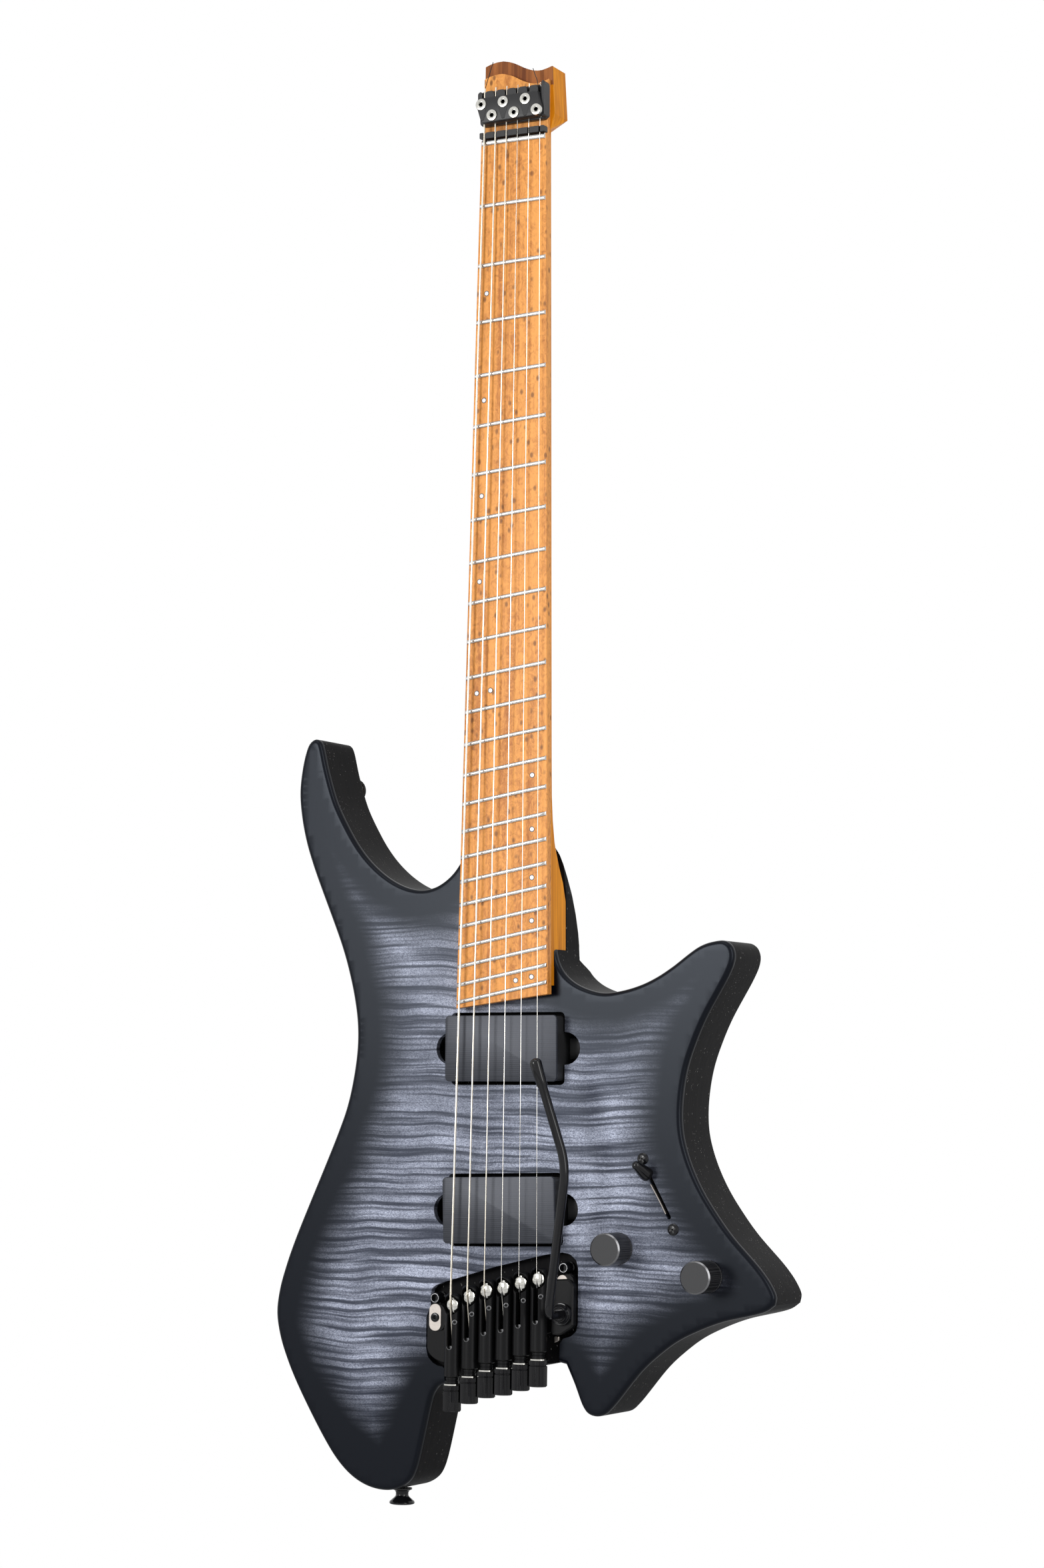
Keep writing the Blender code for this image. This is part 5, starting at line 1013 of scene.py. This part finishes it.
def make_plate_parts():
    """The knife plates at both posts, a screw beside the bass one, and the hollow posts, each with
    a pale ring on its top edge as a painted highlight.
    """
    form = Form()
    for at, half_x, half_z in ((KNIFE, 0.00375, 0.0075),
                               ((0.0371, BRIDGE_Z + 0.002), 0.0032, 0.0072)):
        form.slab(rounded_box(half_x, half_z, half_x * 0.985, 12),
                  mm((0.8, 0), (-0.4, 0), (-0.55, 0.2)), 0, at)
    tab = mm((31.2, -669), (34, -669), (34, -671.2), (31.2, -672.4))
    form.slab(round_corners(tab, 0.0004, 2), mm((4.4, 0), (3, 0), (2.8, 0.2)))
    piece("knife_plates", form, ["satin"], body="tremolo")
    form = Form()
    form.look = 1
    form.turned(mm((2.6, -1), (2.6, 0.2), (2.5, 0.3), (2.4, 0.2)), 32,
                aim((KNIFE[0], -0.0005, KNIFE[1])), False)
    socket_screw(form, (KNIFE[0], -0.0006, KNIFE[1]), 0.0024, 0.0009, 0.0011, socket_shade_look=0)
    piece("knife_screw", form, ["gloss", "smoke"], body="tremolo")
    for name, x, z in POSTS:
        place = aim((x, 0.0087, BRIDGE_Z + z))
        form = Form()
        form.turned(mm((3.4, 0), (3.4, 1.2), (2.9, 1.4), (2.9, 1.2), (2.5, 1.7), (2.9, 2.2),
                       (2.9, 7.9), (2.7, 8.3), (2.4, 8.4), (2, 8.4), (1.9, 8.2), (1.9, 5.9),
                       (0, 5.9)), 36, place)
        # Painted highlight: a thin pale ring on the post's top edge.
        form.look = 1
        form.turned(mm((2.1, 8.3), (2.2, 8.45), (2.4, 8.45), (2.5, 8.3)), 36, place, False)
        piece(name + "_turned", form, ["gloss", "steel"], [name])


ARM_X, ARM_Z = 0.0381, BRIDGE_Z - 0.0119
ARM_ELBOW, ARM_BEND = (ARM_X, -0.02, ARM_Z), (0.0497, -0.024, BRIDGE_Z + 0.0692)
ARM_TIP = (0.0327, -0.03, BRIDGE_Z + 0.1268)
ARM_RADIUS, ARM_CAP_RADIUS, ARM_CAP_LENGTH = 0.0025, 0.0033, 0.015


def make_arm():
    """The bent bar with a round cap on its tip, and the turned collar at its foot."""
    foot, elbow = Vector((ARM_X, 0.0005, ARM_Z)), Vector(ARM_ELBOW)
    bend, tip = Vector(ARM_BEND), Vector(ARM_TIP)
    points = [foot] + corner_run(foot, elbow, bend, 0.006, 10)
    points += corner_run(elbow, bend, tip, 0.011, 10)
    back = (bend - tip).normalized()
    points += [tip + back * (ARM_CAP_LENGTH + 0.001), tip + back * ARM_CAP_LENGTH]
    radii = [ARM_RADIUS] * (len(points) - 1) + [ARM_CAP_RADIUS - 0.0003]
    for a in (pi / 2 * k / 6 for k in range(7)):
        points.append(tip + back * (ARM_CAP_RADIUS * 0.8) * (1 - sin(a)))
        radii.append(max(ARM_CAP_RADIUS * cos(a), 0.0003))
    form = Form()
    form.tube(points, radii, 20)
    piece("arm_bar", form, ["gloss"], ["tremolo_arm"], "arm", angle=60)
    form = Form()
    form.turned(mm((2.8, 0), (6.2, 0), (6.2, 1.4), (6, 1.9), (5.6, 2), (5.2, 1.8), (5, 2),
                   (4.6, 3), (4.3, 3.6), (3.8, 3.6), (3.6, 3.3), (3.4, 3.6), (2.8, 3.6)), 40,
                aim((ARM_X, -0.0028, ARM_Z)))
    piece("collar_rings", form, ["gloss"], ["arm_collar"], body_of("arm_collar"),
          angle=30)


# Controls

SELECTOR = Vector((0.0932, 0, BRIDGE_Z + 0.0525))
SELECTOR_LEAN, SELECTOR_THROW = radians(28.8), radians(34.0)
BLADE_LENGTH, BLADE_HALF = 0.0229, 0.0005
TIP_RADIUS, TIP_ROUND, TIP_LENGTH = 0.0039, 0.0024, 0.0132
SELECTOR_SCREWS = ((0.0831, -0.5712), (0.1015, -0.6089))


def dome_screw(form, at, radius):
    """A domed head with a dark cross laid on it as painted shade of the cross recess."""
    form.look = 0
    form.turned([(radius, -0.0002), (radius * 0.96, 0.0004), (radius * 0.78, 0.0009),
                 (radius * 0.5, 0.0012), (0, 0.0013)], 28, aim(at))
    # Painted shade: two thin dark bars on the dome stand in for the shade inside the cross recess.
    form.look = 1
    long, wide = radius * 0.6, radius * 0.13
    arm = [(-long, -wide), (long, -wide), (long, wide), (-long, wide)]
    for turn in (0.4, 0.4 + pi / 2):
        form.slab(arm, [(at[1] - 0.0009, 0), (at[1] - 0.00136, 0)], turn, (at[0], at[2]))


def make_selector():
    """The thrown lever with its tip, the bright strip in its slot, and two domed screws."""
    along = Vector((-sin(SELECTOR_LEAN), 0, cos(SELECTOR_LEAN)))
    out = Vector((0, -1, 0))
    up = (along * sin(SELECTOR_THROW) + out * cos(SELECTOR_THROW)).normalized()
    across = along.cross(out).normalized()
    side = up.cross(across).normalized()
    pivot = SELECTOR + Vector((-0.0003, 0.02, 0.001))
    form = Form()
    rings = []
    for t in (k / 16 for k in range(17)):
        sway = 0.0009 * sin(pi * (t - 0.45) * 1.8)
        middle = pivot + up * (BLADE_LENGTH * t) + side * sway
        wide = 0.0019 - 0.0005 * t
        rings.append([middle + across * a * BLADE_HALF + side * b * wide
                      for a, b in ((-1, -0.8), (-0.8, -1), (0.8, -1), (1, -0.8), (1, 0.8),
                                   (0.8, 1), (-0.8, 1), (-1, 0.8))])
    form.rings(rings)
    form.look = 1
    r, e = TIP_RADIUS, TIP_ROUND
    profile = [(0, 0), (r - 0.0006, 0), (r - 0.0001, 0.0005), (r, 0.0012), (r, 0.003)]
    for a in (pi / 2 * k / 8 for k in range(8)):
        profile.append((e * cos(a), TIP_LENGTH - e + e * sin(a)))
    form.turned(profile + [(0, TIP_LENGTH)], 32, aim(pivot + up * 0.0224, up))
    piece("selector_blade", form, ["bright", "gloss"], ["selector_lever"],
          "selector")
    form = Form()
    rings = []
    for t in (k / 14 for k in range(15)):
        edge = -0.001 + 0.0002 * sin(pi * t)
        at = SELECTOR + along * (0.0086 - 0.018 * t)
        rings.append([at + across * (edge + w) - out * y
                      for w, y in ((-0.00012, 0.0019 + 0.001 * t), (0.0003, 0.0021 + 0.001 * t),
                                   (0.0003, 0.0065), (-0.00012, 0.0065))])
    form.rings(rings)
    piece("slot_spring", form, ["satin"])
    form = Form()
    for x, z in SELECTOR_SCREWS:
        dome_screw(form, (x, CAP_FRONT, z), 0.0033)
    piece("selector_screws", form, ["gloss", "plastic"])


def make_knob(name, body, x, z):
    """A fluted knob with a smooth skirt, a matte top and a fine bevel round it."""
    place = aim((x, 0, BRIDGE_Z + z))
    form = Form()
    form.turned(mm((8.55, -2.4, 0), (8.85, -2.1, 0), (8.85, -1.2, 0), (8.55, -1, 0),
                   (8.55, -0.6, 0), (8.85, -0.4, 0.12), (8.85, 14.3, 0.12), (8.25, 14.8, 0.12),
                   (7.95, 14.96, 0)), 96, place, False)
    form.look = 2
    form.turned(mm((8.83, 14.4), (8.05, 15.1)), 96, place, False)
    form.look = 1
    form.turned(mm((8.05, 15.06), (7.85, 15), (0, 15)), 96, place)
    form.look = 0
    form.turned(mm((8.55, -2.4), (3.3, -2.4), (3.3, 0.8)), 48, place)
    piece(name + "_cap", form, ["knurl", "matte", "smoke"], [name], body, angle=28)


def make_button(name, axis, at):
    form = Form()
    form.turned(mm((0, 7.6), (2.4, 7.8), (2.8, 8.6), (3.1, 9), (6.2, 9), (6.9, 8.7), (7.2, 8.1),
                   (6.9, 7.3), (5.8, 6.4), (4, 4.8), (3.6, 4), (3.6, 2.4), (4.2, 1.4), (5.6, 0.8),
                   (5.6, 0), (0, 0)), 40, aim(at, axis))
    piece(name + "_turned", form, ["gloss"], [name])


make_cap()
make_core()
make_board()
make_frets()
make_dots()
make_lock()
make_pickup("neck_pickup", board_end_z(0) - 0.026, 0.6)
make_pickup("bridge_pickup", BRIDGE_Z + 0.0435, 1.7)
for i in range(6):
    make_barrel(i)
    make_saddle(i)
    make_tuner_knob(i)
make_plate_parts()
make_arm()
make_selector()
make_knob("volume_knob", "volume", 0.069, 0.0244)
make_knob("tone_knob", "tone", 0.1221, 0.0112)
make_button("strap_button_tail", (0, 0, -1), (-0.0717, 0.022, BRIDGE_Z - 0.114 - GAP))
make_button("strap_button_horn", (0, 1, 0), (-0.127, 0.0445 + GAP, BRIDGE_Z + 0.2827))


# Camera, light and floor

CAMERA_AT = (0.88799, -1.78428, -0.53377)
YAW, PITCH, ROLL = (radians(a) for a in (26.249, 4.844, 0.802))
FOCAL_PIXELS, PHOTO_HEIGHT = 5384.36, 2354
SENSOR_HEIGHT, SENSOR_WIDTH = 36.0, 24.0
SOFTBOXES = (  # name, place, target, width, height, power
    ("key", (-0.68, -1.8, -0.12), (0.02, 0, -0.44), 0.75, 0.75, 24),
    ("right", (1.7, -0.75, 0.1), (0, 0, -0.4), 0.7, 1.8, 19),
    ("above", (0.1, -0.9, 1.5), (0, 0, -0.4), 1.4, 0.8, 7))
FILL_COLOR, FILL_STRENGTH = (0.93, 0.96, 1.0), 0.3
FLOOR_Z, FLOOR_RADIUS = -1.2, 2.3


def camera():
    """The photograph's camera: it looks along +Y, tipped up, turned left and rolled."""
    data = bpy.data.cameras.new("camera")
    data.sensor_fit = "VERTICAL"
    data.sensor_height = SENSOR_HEIGHT
    data.sensor_width = SENSOR_WIDTH
    data.lens = FOCAL_PIXELS * SENSOR_HEIGHT / PHOTO_HEIGHT
    data.clip_end = 30
    ob = linked("camera", data)
    ob.matrix_world = (Matrix.Translation(CAMERA_AT) @ Matrix.Rotation(YAW, 4, "Z")
                       @ Matrix.Rotation(pi / 2 + PITCH, 4, "X")
                       @ Matrix.Rotation(ROLL, 4, "Z"))
    bpy.context.scene.camera = ob


def room():
    """White for the rays that are seen, a dim fill for all others, and three softboxes."""
    world = bpy.data.worlds.new("room")
    bpy.context.scene.world = world
    world.use_nodes = True
    world.node_tree.nodes.clear()
    g = Graph(world.node_tree)
    ray = g.node("LightPath").outputs
    seen = g.math("MAXIMUM", ray["Is Camera Ray"], ray["Is Glossy Ray"])
    seen = g.math("MAXIMUM", seen, ray["Is Transmission Ray"])
    fill = g.node("Background", {"Color": FILL_COLOR, "Strength": FILL_STRENGTH})
    white = g.node("Background", {"Color": (1, 1, 1)})
    mix = g.node("MixShader", {0: seen, 1: fill.outputs[0], 2: white.outputs[0]})
    g.node("OutputWorld", {"Surface": mix.outputs[0]})
    bpy.context.scene.view_settings.view_transform = "Standard"
    for name, at, target, width, height, power in SOFTBOXES:
        data = bpy.data.lights.new(name, "AREA")
        data.shape = "RECTANGLE"
        data.size = width
        data.size_y = height
        data.energy = power
        ob = linked(name, data)
        ob.location = at
        ob.rotation_euler = (Vector(target) - Vector(at)).to_track_quat("-Z", "Y").to_euler()


def floor():
    form = Form()
    bmesh.ops.create_circle(form.bm, cap_ends=True, radius=FLOOR_RADIUS, segments=96,
                            matrix=Matrix.Translation((0, 0, FLOOR_Z)))
    ob = linked("floor", form.mesh("floor", outward=False))
    g = Paint("floor_paint", (0.86, 0.86, 0.85), 0.7)
    g.color(g.noise((3, 3, 3), 3), (0.84, 0.84, 0.835), (0.88, 0.88, 0.875))
    ob.data.materials.append(g.mat)


camera()
room()
floor()
